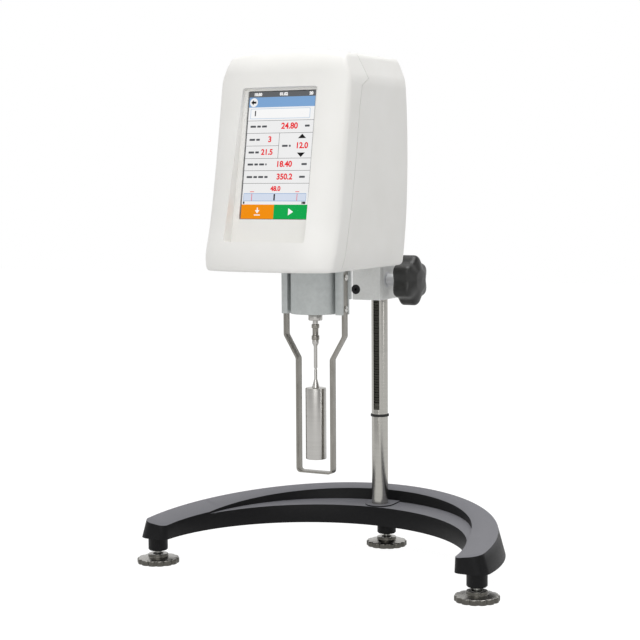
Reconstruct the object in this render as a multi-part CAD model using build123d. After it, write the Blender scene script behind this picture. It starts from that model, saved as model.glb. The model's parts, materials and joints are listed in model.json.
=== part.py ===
from build123d import *
import math
import os

# Rotational viscometer on a rack-and-pinion stand. Lengths are in mm, Z is up from the table.
# While a piece is drawn, X and Y are measured from the spindle axis. save() then moves it back
# by origin_y, so that the origin lies on the table under the middle of the whole instrument.

# Layout
reach = 135.0              # spindle axis to post axis
origin_y = 33.0            # spindle axis to the middle of the instrument
fit = 0.05                 # radial clearance of pins and shafts in their holes
gap = 0.3                  # clearance between pieces that pass each other
far = 400.0                # passes beyond every piece of the instrument

# Base casting
base_bottom = 25.5         # underside above the table
base_bottom_half_width = 177.0
base_bottom_length = 186.0 # half length of the outer ellipse at the underside
base_top_half_width = 166.5
base_top_length = 181.0    # half length of the outer ellipse at base_loft_top
base_loft_top = 60.0
base_centre_y = -17.0      # centre of the outer ellipses
arm_tip_y = -29.0          # where the two arms end
arm_tip_outer_share = 0.58 # share of the tip's width that each corner rounds off
arm_tip_inner_share = 0.38
arch_radius = 147.0        # inner wall of the crescent at the shelf
arch_centre_y = -27.0
arch_draft = 0.05          # inner wall draft, mm per mm of height
rim_dish = 0.15            # fall of the rim towards the inside
rim_tilt = 0.101           # rise of the rim towards the post
rim_apex_y = 10.0
rim_apex_z = 19.8
shelf_radius = 135.5       # wall between rim and shelf
shelf_centre_y = 15.5
shelf_height = 39.9        # shelf plane at y = 0
shelf_tilt = 0.031
pad_radius = 14.5          # raised seat round the post
pad_rise = 1.2
base_wall = 5.5            # casting wall, seen from below
pocket_top = 35.5          # roof of the hollow underside
pocket_front_y = 12.0      # the arm tips stay solid in front of this
rib_angles = (22.0, 48.0, 74.0, 106.0, 132.0, 158.0)
rib_thickness = 4.5

# Levelling feet
foot_x = 163.5
foot_y = -14.0
rear_foot_spacing = 15.0   # rear foot behind the post
boss_radius = 9.25
boss_bottom = 12.5
foot_disc_radius = 20.0
foot_disc_height = 5.5
foot_hub_radius = 9.5
foot_hub_top = 9.0
foot_lobes = 18
foot_lobe_depth = 1.2
stud_radius = 3.0
stud_bottom = 1.5
stud_top = 33.5
stud_hole_top = 37.5

# Post, rack and pinion
post_radius = 8.0
post_bottom = 37.0
post_top = 415.0
post_bolt_radius = 4.0
post_bolt_head_radius = 6.5
post_bolt_head_height = 4.6
post_bolt_reach = 24.0     # thread inside the post
washer_thickness = 1.6
washer_radius = 8.0
module = 0.8
pinion_teeth = 16
rack_sink = 0.6            # tooth tips below the surface of the post
rack_width = 6.0
rack_bottom = 142.5
rack_top = 405.0
run_out_radius = 4.5       # milling cutter that ends the rack's slot
tooth_play = 0.08          # flank clearance of the rack
pressure_angle = 20.0
pinion_width = 5.6
pinion_z = 266.7
stop_ring_bottom = 131.5
stop_ring_height = 2.5
stop_ring_radius = 9.0

# Carriage
carriage_half_width = 15.0
carriage_bottom = 247.7
carriage_height = 60.0
carriage_front = 109.0
carriage_back = 150.0
carriage_chamfer = 0.8
shaft_radius = 3.0
shaft_start = -11.5
bush_radius = 7.65
bush_nose_radius = 5.2
bush_step = 7.2
knob_hub_radius = 5.8
knob_start = 29.6
knob_length = 21.5
knob_radius = 24.0
knob_lobes = 6
knob_scallop_radius = 9.0
knob_scallop_offset = 28.6
knob_dome = 5.5
tension_z = 291.0
tension_radius = 2.5
tension_pad_length = 3.0
tension_screw_length = 4.0

# Arm between the carriage and the head
arm_half_width = 13.0
arm_flange = 4.0
arm_inner_end = 26.0
arm_screw_radius = 2.5
arm_screw_head_radius = 4.6
arm_screw_length = 12.0
arm_screw_x = 11.0
arm_screw_low = 257.7
arm_screw_high = 286.0

# Measuring head
head_bottom = 285.0
head_half_width = 64.0
head_fold_z = 449.7        # where the sides turn in
head_chamfer_half_width = 55.9
head_chamfer_z = 471.7
head_top = 478.0
head_wall = 2.6
head_round_z = 456.0       # where the front edge of the top starts to round off
head_front_round = 17.0
head_rear_round_z = 465.0  # and the rear edge
head_rear_round = 12.0
head_low_taper = 2.5       # the sides draw in at the bottom edge
head_low_taper_height = 12.0
# Sections of the moulding: height, then y of the front at the middle and at the fold,
# of the end of the flat side, of the rear corner and of the rear at the middle.
head_stations = (
    (283.0, -104.5, -90.3, -8.0, 60.5, 67.5),
    (325.0, -94.0, -77.4, 26.0, 66.1, 73.1),
    (370.0, -82.7, -67.6, 38.4, 68.3, 75.5),
    (420.0, -70.1, -58.5, 47.5, 66.3, 73.5),
    (482.0, -54.5, -48.5, 51.0, 58.0, 65.0),
)
# Side view of the joint between the two shells, from the bottom up
seam_line = ((-72.0, 280.0), (-54.3, 340.2), (-45.6, 379.0), (-37.5, 425.5), (-32.5, 444.5),
             (-19.0, 450.2), (-25.4, 469.0), (-28.5, 482.0))
seam_gap = 0.35

# Display
screen_half_width = 32.75
screen_low = (-78.5, 330.3)    # y and z of the lit area's bottom edge
screen_high = (-59.4, 439.9)   # y and z of its top edge
recess_top_half_width = 36.6
recess_low_half_width = 39.5
recess_above = 2.6         # recess beyond the lit area, along the leaning floor
recess_below = 22.5
recess_corner = 2.0
window_margin = 0.6
glass_thickness = 1.1
glass_sink = 0.25
lcd_thickness = 4.5
lcd_margin = 2.0
board_half_width = 40.0
board_length = 118.0
board_thickness = 1.6
board_standoff = 8.0

# Bearing housing and guard leg
housing_radius = 22.2
housing_bottom = 243.0
cheek_inner = 24.4
cheek_outer = 31.0
cheek_half_depth = 8.0
cheek_bottom = 242.5
collar_radius = 33.0
collar_bottom = 256.0
flange_bottom = 281.0
strap_width = 9.0
strap_thickness = 1.6
strap_outer = 30.5
strap_top = 283.0
strap_low_outer = 18.2
strap_bottom = 97.0
bend_high = 222.5
bend_low = 201.5
strap_corner = 4.0
guard_screw_heights = (276.0, 247.5)
nose_radius = 6.4
nose_bottom = 236.5
bearing_radius = 8.0
bearing_height = 5.0
bearing_low = 246.0
bearing_high = 270.0

# Spindle and its shaft
spindle_radius = 9.42
spindle_bottom = 110.0
spindle_top = 175.1
cone_low_radius = 3.5
cone_high_radius = 1.35
cone_top = 183.3
neck_bottom = 191.6        # immersion groove
neck_top = 193.2
neck_radius = 1.0
upper_rod_radius = 1.65
upper_rod_top = 213.1
hub_radius = 3.0
hub_bottom = 215.7
hub_top = 218.8
nut_top = 233.1
nut_ring_radius = 3.55
nut_ring_low = 223.0
nut_ring_high = 229.3
nut_radius = 2.7
spindle_stud_radius = 1.5
spindle_stud_top = 224.5
drive_shaft_radius = 2.5
drive_thread_radius = 1.6
drive_shaft_top = 316.5

# Inside the head
chassis_thickness = 4.9
chassis_half_width = 52.0
chassis_front = -52.0
chassis_rear = 57.0
ear_x = 40.0
ear_front = -84.0
disc_radius = 20.0
disc_thickness = 1.0
lower_disc_z = 306.0
spring_z = 312.0
spring_height = 3.0
spring_strip = 0.5
spring_pitch = 1.6
spring_turns = 4
upper_disc_z = 319.0
carrier_radius = 6.0
carrier_top = 334.0
motor_plate_z = 340.0
motor_plate_thickness = 4.0
motor_half = 21.0
motor_height = 34.0
motor_shaft_radius = 2.5
pillar_offset = 23.0
pillar_radius = 4.0

# Rear panel with the inlet and the switch
panel_half_width = 46.0
panel_low = 322.0
panel_high = 356.0
panel_y = 68.0
inlet_x = -24.0
inlet_radius = 5.5
switch_x = 24.0
switch_half_width = 6.5
switch_half_height = 9.6
switch_bezel = 1.5
rocker_tilt = 10.0


# Places that follow from the sizes above
post_y = reach
rear_foot_y = post_y + rear_foot_spacing
arm_tip_width = min(base_bottom_half_width, base_top_half_width) - arch_radius
arm_tip_middle = arch_radius + arm_tip_width / 2
pinion_radius = module * pinion_teeth / 2
pitch_line_y = post_y - post_radius + rack_sink + module
pinion_y = pitch_line_y - pinion_radius
carriage_top = carriage_bottom + carriage_height
flange_front = carriage_front - arm_flange
chassis_bottom = head_bottom + head_wall
chassis_top = chassis_bottom + chassis_thickness
shelf_slope = math.degrees(math.atan(shelf_tilt))
rim_slope = math.degrees(math.atan(rim_tilt))
screen_rise = screen_high[1] - screen_low[1]
screen_run = screen_high[0] - screen_low[0]
screen_length = math.hypot(screen_rise, screen_run)
screen_lean = math.degrees(math.atan2(screen_run, screen_rise))

on_base = (Align.CENTER, Align.CENTER, Align.MIN)
os.makedirs("parts", exist_ok=True)


def save(name, shape):
    export_step(Pos(0, -origin_y, 0) * shape, f"parts/{name}.step")


def rod(radius, low, high, x=0.0, y=0.0):
    # upright cylinder
    return Pos(x, y, low) * Cylinder(radius, high - low, align=on_base)


def cross_rod(radius, start, end, y, z):
    # cylinder along X
    return Pos(start, y, z) * Rot(0, 90, 0) * Cylinder(radius, end - start, align=on_base)


def bar(x0, x1, y0, y1, z0, z1):
    # straight block between two corners
    return Pos((x0 + x1) / 2, (y0 + y1) / 2, (z0 + z1) / 2) * Box(x1 - x0, y1 - y0, z1 - z0)


def turned(points):
    # body of revolution about Z from (radius, height) points
    outline = Polyline(*[(radius, 0, height) for radius, height in points], close=True)
    return revolve(make_face(outline), Axis.Z)


def union(shapes):
    total = shapes[0]
    for shape in shapes[1:]:
        total = total + shape
    return total


# ---- Base casting

def ellipse_wall(inset):
    # drafted outer form of the crescent
    low = Pos(0, base_centre_y, base_bottom) * Ellipse(
        base_bottom_half_width - inset, base_bottom_length - inset)
    high = Pos(0, base_centre_y, base_loft_top) * Ellipse(
        base_top_half_width - inset, base_top_length - inset)
    return loft([low, high])


def arch_void(inset):
    # drafted inner form, the open middle of the crescent
    height = base_loft_top - base_bottom
    shelf_offset = (base_loft_top + base_bottom) / 2 - shelf_height
    low_radius = arch_radius + inset - arch_draft * (height / 2 - shelf_offset)
    return Pos(0, arch_centre_y, base_bottom) * Cone(
        low_radius, low_radius + arch_draft * height, height, align=on_base)


def above_shelf(lift, radius, centre_y):
    # everything over the tilted shelf plane inside a circle
    column = rod(radius, base_bottom, base_loft_top + 20, 0, centre_y)
    half_space = Pos(0, 0, shelf_height + lift) * Rot(shelf_slope, 0, 0) * Box(
        far, far, far, align=on_base)
    return column & half_space


def tip_edges(body):
    # upright edges at the ends of the two arms
    return [edge for edge in body.edges()
            if abs(edge.center().Y - arm_tip_y) < 0.5 and edge.bounding_box().size.Z > 10]


def base_casting():
    front_cut = bar(-far, far, -far, arm_tip_y, 0, far)
    body = ellipse_wall(0) - front_cut - arch_void(0)
    outer_edges = [edge for edge in tip_edges(body) if abs(edge.center().X) > arm_tip_middle]
    body = fillet(outer_edges, arm_tip_outer_share * arm_tip_width)
    inner_edges = [edge for edge in tip_edges(body) if abs(edge.center().X) < arm_tip_middle]
    body = fillet(inner_edges, arm_tip_inner_share * arm_tip_width)

    # the rim dishes inwards and rises towards the post
    dish_reach = base_bottom_length * 1.6
    dish = turned([(0, 0), (dish_reach, rim_dish * dish_reach), (dish_reach, 90), (0, 90)])
    body = body - Pos(0, rim_apex_y, rim_apex_z) * Rot(rim_slope, 0, 0) * dish
    body = body - above_shelf(0, shelf_radius, shelf_centre_y)

    # raised seat of the post, running back to the rim wall
    seat = rod(pad_radius, base_bottom, base_loft_top, 0, post_y)
    seat = seat + bar(-pad_radius, pad_radius, post_y, shelf_centre_y + shelf_radius + 1,
                      base_bottom, base_loft_top)
    seat = seat - above_shelf(pad_rise, shelf_radius, shelf_centre_y)
    body = body + (seat & rod(shelf_radius + 2, base_bottom, base_bottom + 25, 0, shelf_centre_y))

    # hollow underside with ribs
    pocket = ellipse_wall(base_wall) - arch_void(base_wall)
    pocket = pocket & bar(-far, far, pocket_front_y, far, base_bottom, pocket_top)
    keep = [rod(pad_radius, base_bottom, pocket_top, 0, post_y),
            rod(boss_radius, base_bottom, pocket_top, 0, rear_foot_y)]
    for angle in rib_angles:
        keep.append(Pos(0, 0, base_bottom) * Rot(0, 0, angle) * Pos(far / 2, 0, 0) * Box(
            far, rib_thickness, pocket_top - base_bottom, align=on_base))
    body = body - (pocket - union(keep))

    # foot bosses with their tapped holes
    for x, y in foot_places().values():
        boss = rod(boss_radius, boss_bottom, base_bottom + 2, x, y)
        boss = chamfer(boss.edges().sort_by(Axis.Z)[0], 1.0)
        body = body + boss
    for x, y in foot_places().values():
        body = body - rod(stud_radius + fit, boss_bottom - 1, stud_hole_top, x, y)

    # socket of the post and the hole of its bolt
    web_bottom = base_bottom + washer_thickness + post_bolt_head_height + gap
    body = body - rod(post_radius + fit, post_bottom, base_loft_top, 0, post_y)
    body = body - rod(post_bolt_radius + gap, base_bottom - 1, post_bottom + 1, 0, post_y)
    body = body - rod(washer_radius + gap, base_bottom - 1, web_bottom, 0, post_y)
    return body


def foot_places():
    return {"left": (-foot_x, foot_y), "right": (foot_x, foot_y), "rear": (0.0, rear_foot_y)}


def foot_disc():
    # knurled disc with a raised hub, drawn about its own axis
    disc = rod(foot_disc_radius, 0, foot_disc_height)
    lobe_pitch = 360 / foot_lobes
    notch_radius = foot_lobe_depth * 1.6
    for index in range(foot_lobes):
        disc = disc - Rot(0, 0, index * lobe_pitch) * rod(
            notch_radius, -1, foot_disc_height + 1, foot_disc_radius + notch_radius - foot_lobe_depth)
    disc = disc & turned([(0, 0), (foot_disc_radius - 0.8, 0), (foot_disc_radius, 0.8),
                          (foot_disc_radius, foot_disc_height - 1.2),
                          (foot_disc_radius - 1.6, foot_disc_height), (0, foot_disc_height)])
    disc = disc + turned([(0, 1), (foot_hub_radius, 1), (foot_hub_radius, foot_hub_top - 0.8),
                          (foot_hub_radius - 0.8, foot_hub_top), (0, foot_hub_top)])
    recess = rod(stud_radius + 2.0, foot_hub_top - 1.6, foot_hub_top + 1)
    return disc - recess - rod(stud_radius + fit, stud_bottom - 0.5, foot_hub_top + 1)


def foot_stud():
    return turned([(0, stud_bottom), (stud_radius - 0.5, stud_bottom), (stud_radius, stud_bottom + 0.5),
                   (stud_radius, stud_top - 0.5), (stud_radius - 0.5, stud_top), (0, stud_top)])


# ---- Post with its rack

def rack_bar():
    # toothed strip that fills the slot of the post, teeth towards -Y
    pitch = math.pi * module
    tip_y = pitch_line_y - module
    root_y = pitch_line_y + 1.25 * module
    slope = math.tan(math.radians(pressure_angle))
    half_at_pitch = pitch / 4 - tooth_play / 2
    half_tip = half_at_pitch - module * slope
    half_root = half_at_pitch + 1.25 * module * slope
    first = math.ceil((rack_bottom + half_root - pinion_z) / pitch - 0.5)
    last = math.floor((rack_top - half_root - pinion_z) / pitch - 0.5)
    back_y = root_y + 1.0
    points = [(back_y, rack_bottom), (root_y, rack_bottom)]
    for index in range(first, last + 1):
        middle = pinion_z + (index + 0.5) * pitch
        points += [(root_y, middle - half_root), (tip_y, middle - half_tip),
                   (tip_y, middle + half_tip), (root_y, middle + half_root)]
    points += [(root_y, rack_top), (back_y, rack_top)]
    outline = Polyline(*[(-rack_width / 2, y, z) for y, z in points], close=True)
    return extrude(make_face(outline), amount=rack_width, dir=(1, 0, 0))


def post():
    body = rod(post_radius, post_bottom, post_top, 0, post_y)
    ends = body.edges().filter_by(GeomType.CIRCLE)
    body = chamfer(ends, 0.8)
    root_y = pitch_line_y + 1.25 * module
    slot = bar(-rack_width / 2, rack_width / 2, post_y - post_radius - 1, root_y + 1.0,
               rack_bottom, rack_top)
    run_out = cross_rod(run_out_radius, -rack_width / 2, rack_width / 2, root_y - run_out_radius, rack_bottom)
    body = (body - slot - run_out) + rack_bar()
    return body - rod(post_bolt_radius + fit, post_bottom - 1, post_bottom + post_bolt_reach, 0, post_y)


def gear_tooth_outline(teeth, play):
    # involute spur gear as (radius, angle) points, with a tooth centred on +Y
    pitch_r = module * teeth / 2
    base_r = pitch_r * math.cos(math.radians(pressure_angle))
    tip_r = pitch_r + module
    root_r = pitch_r - 1.25 * module
    involute_at_pitch = math.tan(math.radians(pressure_angle)) - math.radians(pressure_angle)
    half_tooth = math.pi / (2 * teeth) - play / (2 * pitch_r)
    flank = []
    for step in range(4):
        radius = base_r + (tip_r - base_r) * step / 3
        roll = math.acos(base_r / radius)
        flank.append((radius, half_tooth + involute_at_pitch - (math.tan(roll) - roll)))
    flank.insert(0, (root_r, flank[0][1]))
    points = []
    for index in range(teeth):
        middle = math.pi / 2 + index * 2 * math.pi / teeth
        for radius, half_angle in flank:
            points.append((radius, middle - half_angle))
        for radius, half_angle in reversed(flank):
            points.append((radius, middle + half_angle))
    return points


def pinion_shaft():
    points = gear_tooth_outline(pinion_teeth, tooth_play)
    # the outline lies in the YZ plane: its +Y is the instrument's +Y
    outline = Polyline(*[(-pinion_width / 2, pinion_y + radius * math.sin(angle),
                          pinion_z + radius * math.cos(angle)) for radius, angle in points], close=True)
    wheel = extrude(make_face(outline), amount=pinion_width, dir=(1, 0, 0))
    shaft = cross_rod(shaft_radius, shaft_start, knob_start + knob_length * 0.7, pinion_y, pinion_z)
    return wheel + shaft


# ---- Carriage

def carriage_block():
    body = bar(-carriage_half_width, carriage_half_width, carriage_front, carriage_back,
               carriage_bottom, carriage_top)
    body = chamfer(body.edges(), carriage_chamfer)
    body = body - rod(post_radius + fit, carriage_bottom - 1, carriage_top + 1, 0, post_y)
    # pinion pocket and the bore of the bush, both from the knob side
    pocket_radius = pinion_radius + module + gap
    body = body - cross_rod(pocket_radius, -pinion_width / 2 - gap, bush_step, pinion_y, pinion_z)
    body = body - cross_rod(bush_radius + fit, bush_step, carriage_half_width + 1, pinion_y, pinion_z)
    body = body - cross_rod(shaft_radius + fit, shaft_start - gap, 0, pinion_y, pinion_z)
    # tapped cross hole of the tension screw
    body = body - cross_rod(tension_radius + fit, -carriage_half_width - 1, -post_radius + 1, post_y,
                            tension_z)
    for x, z in arm_screw_places():
        hole = Pos(x, carriage_front - 1, z) * Rot(-90, 0, 0) * Cylinder(
            arm_screw_radius + fit, arm_screw_length - arm_flange + 2, align=on_base)
        body = body - hole
    return body


def shaft_bush():
    body = cross_rod(bush_radius, bush_step + fit, carriage_half_width, pinion_y, pinion_z)
    body = body + cross_rod(bush_nose_radius, pinion_width / 2 + gap, bush_step + 1, pinion_y, pinion_z)
    return body - cross_rod(shaft_radius + fit, 0, carriage_half_width + 1, pinion_y, pinion_z)


def tension_pad():
    start = -post_radius - fit - tension_pad_length
    pad = cross_rod(tension_radius, start, -post_radius - fit + 1, post_y, tension_z)
    return pad - rod(post_radius + fit, tension_z - 10, tension_z + 10, 0, post_y)


def tension_screw():
    end = -post_radius - fit - tension_pad_length
    screw = cross_rod(tension_radius, end - tension_screw_length, end, post_y, tension_z)
    socket = Pos(end - tension_screw_length, post_y, tension_z) * Rot(0, 90, 0) * extrude(
        RegularPolygon(1.5, 6), amount=2.0)
    return screw - socket


def knob_hub():
    hub = cross_rod(knob_hub_radius, carriage_half_width + gap, knob_start, pinion_y, pinion_z)
    hub = chamfer(hub.edges().filter_by(GeomType.CIRCLE).sort_by(Axis.X)[0], 0.6)
    return hub - cross_rod(shaft_radius + fit, carriage_half_width, knob_start + 1, pinion_y, pinion_z)


def lift_knob():
    # lobed grip drawn upright, then laid along X
    grip = Circle(knob_radius)
    for index in range(knob_lobes):
        angle = (index + 0.5) * 360 / knob_lobes
        grip = grip - Rot(0, 0, angle) * Pos(knob_scallop_offset, 0) * Circle(knob_scallop_radius)
    grip = fillet(grip.vertices(), 3.0)
    body = extrude(grip, amount=knob_length)
    shoulder = knob_length - knob_dome
    dome = turned([(0, 0), (knob_radius - 1.5, 0), (knob_radius + 0.5, 1.5),
                   (knob_radius + 0.5, shoulder), (knob_radius - 2.0, shoulder + knob_dome * 0.55),
                   (knob_radius * 0.62, shoulder + knob_dome * 0.9), (0, knob_length)])
    body = body & dome
    body = body - rod(shaft_radius + fit, -1, knob_length * 0.7 + gap)
    return Pos(knob_start, pinion_y, pinion_z) * Rot(0, 90, 0) * body


# ---- Arm

def arm_screw_places():
    # two screws across a diagonal of the flange
    return [(-arm_screw_x, arm_screw_low), (arm_screw_x, arm_screw_high)]


def countersunk(radius, head_radius, length):
    # countersunk screw pointing down -Z from a flush head at z = 0, with a hexagon socket
    head = head_radius - radius
    screw = turned([(0, 0), (head_radius, 0), (head_radius, -0.3), (radius, -head - 0.3),
                    (radius, -length), (0, -length)])
    return screw - Pos(0, 0, -head) * extrude(RegularPolygon(radius * 0.62, 6), amount=head + 1)


def sink(radius, head_radius, length):
    # hole for such a screw
    head = head_radius - radius
    return turned([(0, 1), (head_radius + fit, 1), (head_radius + fit, -0.3),
                   (radius + fit, -head - 0.3), (radius + fit, -length), (0, -length)])


def arm_bracket():
    flange = bar(-carriage_half_width, carriage_half_width, flange_front, carriage_front,
                 carriage_bottom, carriage_top)
    flange = chamfer(flange.edges(), carriage_chamfer)
    tongue = bar(-arm_half_width, arm_half_width, arm_inner_end, flange_front + 1,
                 chassis_top, carriage_top - carriage_chamfer)
    tongue = chamfer(tongue.edges().filter_by(Axis.Y), 1.2)
    body = flange + tongue
    for x, z in arm_screw_places():
        body = body - Pos(x, flange_front, z) * Rot(90, 0, 0) * sink(
            arm_screw_radius, arm_screw_head_radius, arm_flange + 1)
    for y in bracket_screw_places():
        body = body - rod(arm_screw_radius + fit, chassis_top - 1, carriage_top + 1, 0, y)
    return body


def bracket_screw_places():
    return (arm_inner_end + 8.0, arm_inner_end + 24.0)


def arm_screws():
    return Compound([Pos(x, flange_front, z) * Rot(90, 0, 0) * countersunk(
        arm_screw_radius, arm_screw_head_radius, arm_screw_length) for x, z in arm_screw_places()])


def bracket_screws():
    seat = carriage_top - carriage_chamfer
    screws = []
    for y in bracket_screw_places():
        screw = rod(4.25, seat, seat + 5.0, 0, y) + rod(arm_screw_radius, chassis_top - 4.0, seat, 0, y)
        socket = Pos(0, y, seat + 2.4) * extrude(RegularPolygon(2.2, 6), amount=4)
        screws.append(screw - socket)
    return Compound(screws)


# ---- Measuring head

def head_section(station, wall):
    height, front_mid, front_fold, side_end, rear_corner, rear_mid = station
    half = head_half_width - wall
    front_mid = front_mid + wall
    front_fold = front_fold + wall
    rear_corner = rear_corner - wall
    rear_mid = rear_mid - wall
    front_quarter = front_mid + 0.16 * (front_fold - front_mid)
    front = [(-half, front_fold), (-0.61 * half, front_quarter), (0, front_mid),
             (0.61 * half, front_quarter), (half, front_fold)]
    # the sides draw in behind side_end, then round a corner into the bowed rear
    draw_in = 0.055 * (rear_corner - side_end)
    corner = [(half - draw_in, rear_corner - 5.0), (half - 6.5, rear_corner + 1.5),
              (half - 16.0, rear_mid - 3.6)]
    edges = [Spline(*[(x, y, height) for x, y in front])]
    edges.append(Line((half, front_fold, height), (half, side_end, height)))
    edges.append(ThreePointArc((half, side_end, height),
                               (half - 0.25 * draw_in, (side_end + corner[0][1]) / 2, height),
                               (*corner[0], height)))
    edges.append(ThreePointArc(*[(x, y, height) for x, y in corner]))
    edges.append(ThreePointArc((*corner[2], height), (0, rear_mid, height),
                               (-corner[2][0], corner[2][1], height)))
    edges.append(ThreePointArc(*[(-x, y, height) for x, y in reversed(corner)]))
    edges.append(ThreePointArc((-corner[0][0], corner[0][1], height),
                               (-half + 0.25 * draw_in, (side_end + corner[0][1]) / 2, height),
                               (-half, side_end, height)))
    edges.append(Line((-half, side_end, height), (-half, front_fold, height)))
    return make_face(edges)


def head_form(wall):
    # outer form of the head, or its inner form when a wall is given
    body = loft([head_section(station, wall) for station in head_stations])
    half = head_half_width - wall
    shoulder = head_chamfer_half_width - wall
    bottom = head_bottom + wall
    taper_top = bottom + head_low_taper_height
    low_half = half - head_low_taper
    past = 0.5             # the outline passes the flat sides by this, so that they stay whole
    taper_slope = head_low_taper_height / head_low_taper
    fold_slope = (head_chamfer_z - wall - head_fold_z) / (half - shoulder)
    outline = [(low_half, bottom), (half + past, taper_top + past * taper_slope),
               (half + past, head_fold_z - past * fold_slope), (shoulder, head_chamfer_z - wall)]
    crown = (0, -far, head_top - wall)
    right = [Line((x0, -far, z0), (x1, -far, z1)) for (x0, z0), (x1, z1) in zip(outline, outline[1:])]
    left = [Line((-x1, -far, z1), (-x0, -far, z0)) for (x0, z0), (x1, z1) in zip(outline, outline[1:])]
    dome = ThreePointArc((shoulder, -far, head_chamfer_z - wall), crown,
                         (-shoulder, -far, head_chamfer_z - wall))
    floor = Line((-low_half, -far, bottom), (low_half, -far, bottom))
    front_view = right + [dome] + left[::-1] + [floor]
    body = body & extrude(make_face(front_view), amount=2 * far, dir=(0, 1, 0))
    front_edge = front_line(head_round_z) + wall
    rear_edge = rear_line(head_rear_round_z) - wall
    top = head_top - wall
    side_view = [Line((-far, -far, bottom), (-far, -far, head_round_z)),
                 Line((-far, -far, head_round_z), (-far, front_edge, head_round_z)),
                 round_corner(front_edge, front_edge + head_front_round, head_round_z, top),
                 Line((-far, front_edge + head_front_round, top), (-far, rear_edge - head_rear_round, top)),
                 round_corner(rear_edge - head_rear_round, rear_edge, top, head_rear_round_z),
                 Line((-far, rear_edge, head_rear_round_z), (-far, far, head_rear_round_z)),
                 Line((-far, far, head_rear_round_z), (-far, far, bottom)),
                 Line((-far, far, bottom), (-far, -far, bottom))]
    return body & extrude(make_face(side_view), amount=2 * far, dir=(1, 0, 0))


def round_corner(start_y, end_y, start_z, end_z):
    # quarter round between an upright and a level line
    rising = end_z > start_z
    middle_y = start_y + (end_y - start_y) * (0.27 if rising else 0.73)
    middle_z = start_z + (end_z - start_z) * (0.75 if rising else 0.25)
    return ThreePointArc((-far, start_y, start_z), (-far, middle_y, middle_z), (-far, end_y, end_z))


def along_stations(column, height):
    # value of one column of the stations at a height
    for low, high in zip(head_stations, head_stations[1:]):
        if height <= high[0]:
            share = (height - low[0]) / (high[0] - low[0])
            return low[column] + share * (high[column] - low[column])
    return head_stations[-1][column]


def front_line(height):
    return along_stations(1, height)


def rear_line(height):
    return along_stations(5, height)


def on_screen(x, along, out):
    # point by its distance along the leaning floor from the lit area's bottom edge, and out of it
    lean = math.radians(screen_lean)
    y = screen_low[0] + along * math.sin(lean) - out * math.cos(lean)
    z = screen_low[1] + along * math.cos(lean) + out * math.sin(lean)
    return (x, y, z)


def screen_plane(out):
    # plane on the floor of the recess, local X across and local Y up the slope
    lean = math.radians(screen_lean)
    origin = on_screen(0, screen_length / 2, out)
    return Plane(origin=origin, x_dir=(1, 0, 0), z_dir=(0, -math.cos(lean), math.sin(lean)))


def recess_tool(margin, sink_depth, height):
    # tapered pocket of the display, standing on its floor
    top = screen_length / 2 + recess_above + margin
    low = -screen_length / 2 - recess_below - margin
    outline = make_face(Polyline((-recess_top_half_width - margin, top), (recess_top_half_width + margin, top),
                                 (recess_low_half_width + margin, low),
                                 (-recess_low_half_width - margin, low), close=True))
    outline = fillet(outline.vertices(), recess_corner + margin)
    return screen_plane(-sink_depth) * extrude(outline, amount=height)


def window_tool(margin, low, high):
    # straight opening over the lit area
    opening = Rectangle(2 * (screen_half_width + margin), screen_length + 2 * margin)
    return screen_plane(low) * extrude(opening, amount=high - low)


def seam_side(shift):
    # everything in front of the joint line
    points = [(y + shift, z) for y, z in seam_line]
    points = [(-far, points[0][1])] + points + [(-far, points[-1][1])]
    outline = Polyline(*[(-far, y, z) for y, z in points], close=True)
    return extrude(make_face(outline), amount=2 * far, dir=(1, 0, 0))


def rear_panel(margin, depth):
    # shallow flat for the inlet and the switch
    return bar(-panel_half_width - margin, panel_half_width + margin, panel_y - depth, panel_y + 30,
               panel_low - margin, panel_high + margin)


def head_shells():
    outer = head_form(0) - recess_tool(0, 0, 60) - rear_panel(0, 0)
    cavity = head_form(head_wall) - recess_tool(head_wall, head_wall, 60)
    cavity = cavity - rear_panel(head_wall, head_wall)
    shell = outer - cavity
    shell = shell - window_tool(window_margin, -2 * head_wall, head_wall)
    front = shell & seam_side(-seam_gap / 2)
    rear = shell - seam_side(seam_gap / 2)
    front = front + screw_bosses(front_screw_places()) - screw_holes(front_screw_places())
    rear = rear + screw_bosses(rear_screw_places()) - screw_holes(rear_screw_places())
    rear = rear - rod(collar_radius + gap, head_bottom - 1, head_bottom + head_wall + 1)
    rear = rear - bar(-arm_half_width - gap, arm_half_width + gap, 30, 120,
                      chassis_top - gap, carriage_top - carriage_chamfer + gap)
    rear = rear - switch_hole() - inlet_hole()
    return front, rear


def front_screw_places():
    return [(-ear_x, ear_front + 7.0), (ear_x, ear_front + 7.0)]


def rear_screw_places():
    return [(x, y) for x in (-ear_x, ear_x) for y in (chassis_front + 8.0, chassis_rear - 8.0)]


def screw_bosses(places):
    return union([rod(4.5, head_bottom, chassis_bottom, x, y) for x, y in places])


def screw_holes(places):
    return union([Pos(x, y, head_bottom) * Rot(180, 0, 0) * sink(1.5, 3.0, head_wall + 1)
                  for x, y in places])


def shell_screws():
    places = front_screw_places() + rear_screw_places()
    return Compound([Pos(x, y, head_bottom) * Rot(180, 0, 0) * countersunk(1.5, 3.0, 6.5)
                     for x, y in places])


# ---- Display

def touch_glass():
    plate = Rectangle(2 * (screen_half_width + window_margin - fit),
                      screen_length + 2 * (window_margin - fit))
    plate = fillet(plate.vertices(), 0.6)
    return screen_plane(-glass_sink - glass_thickness) * extrude(plate, amount=glass_thickness)


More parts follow.
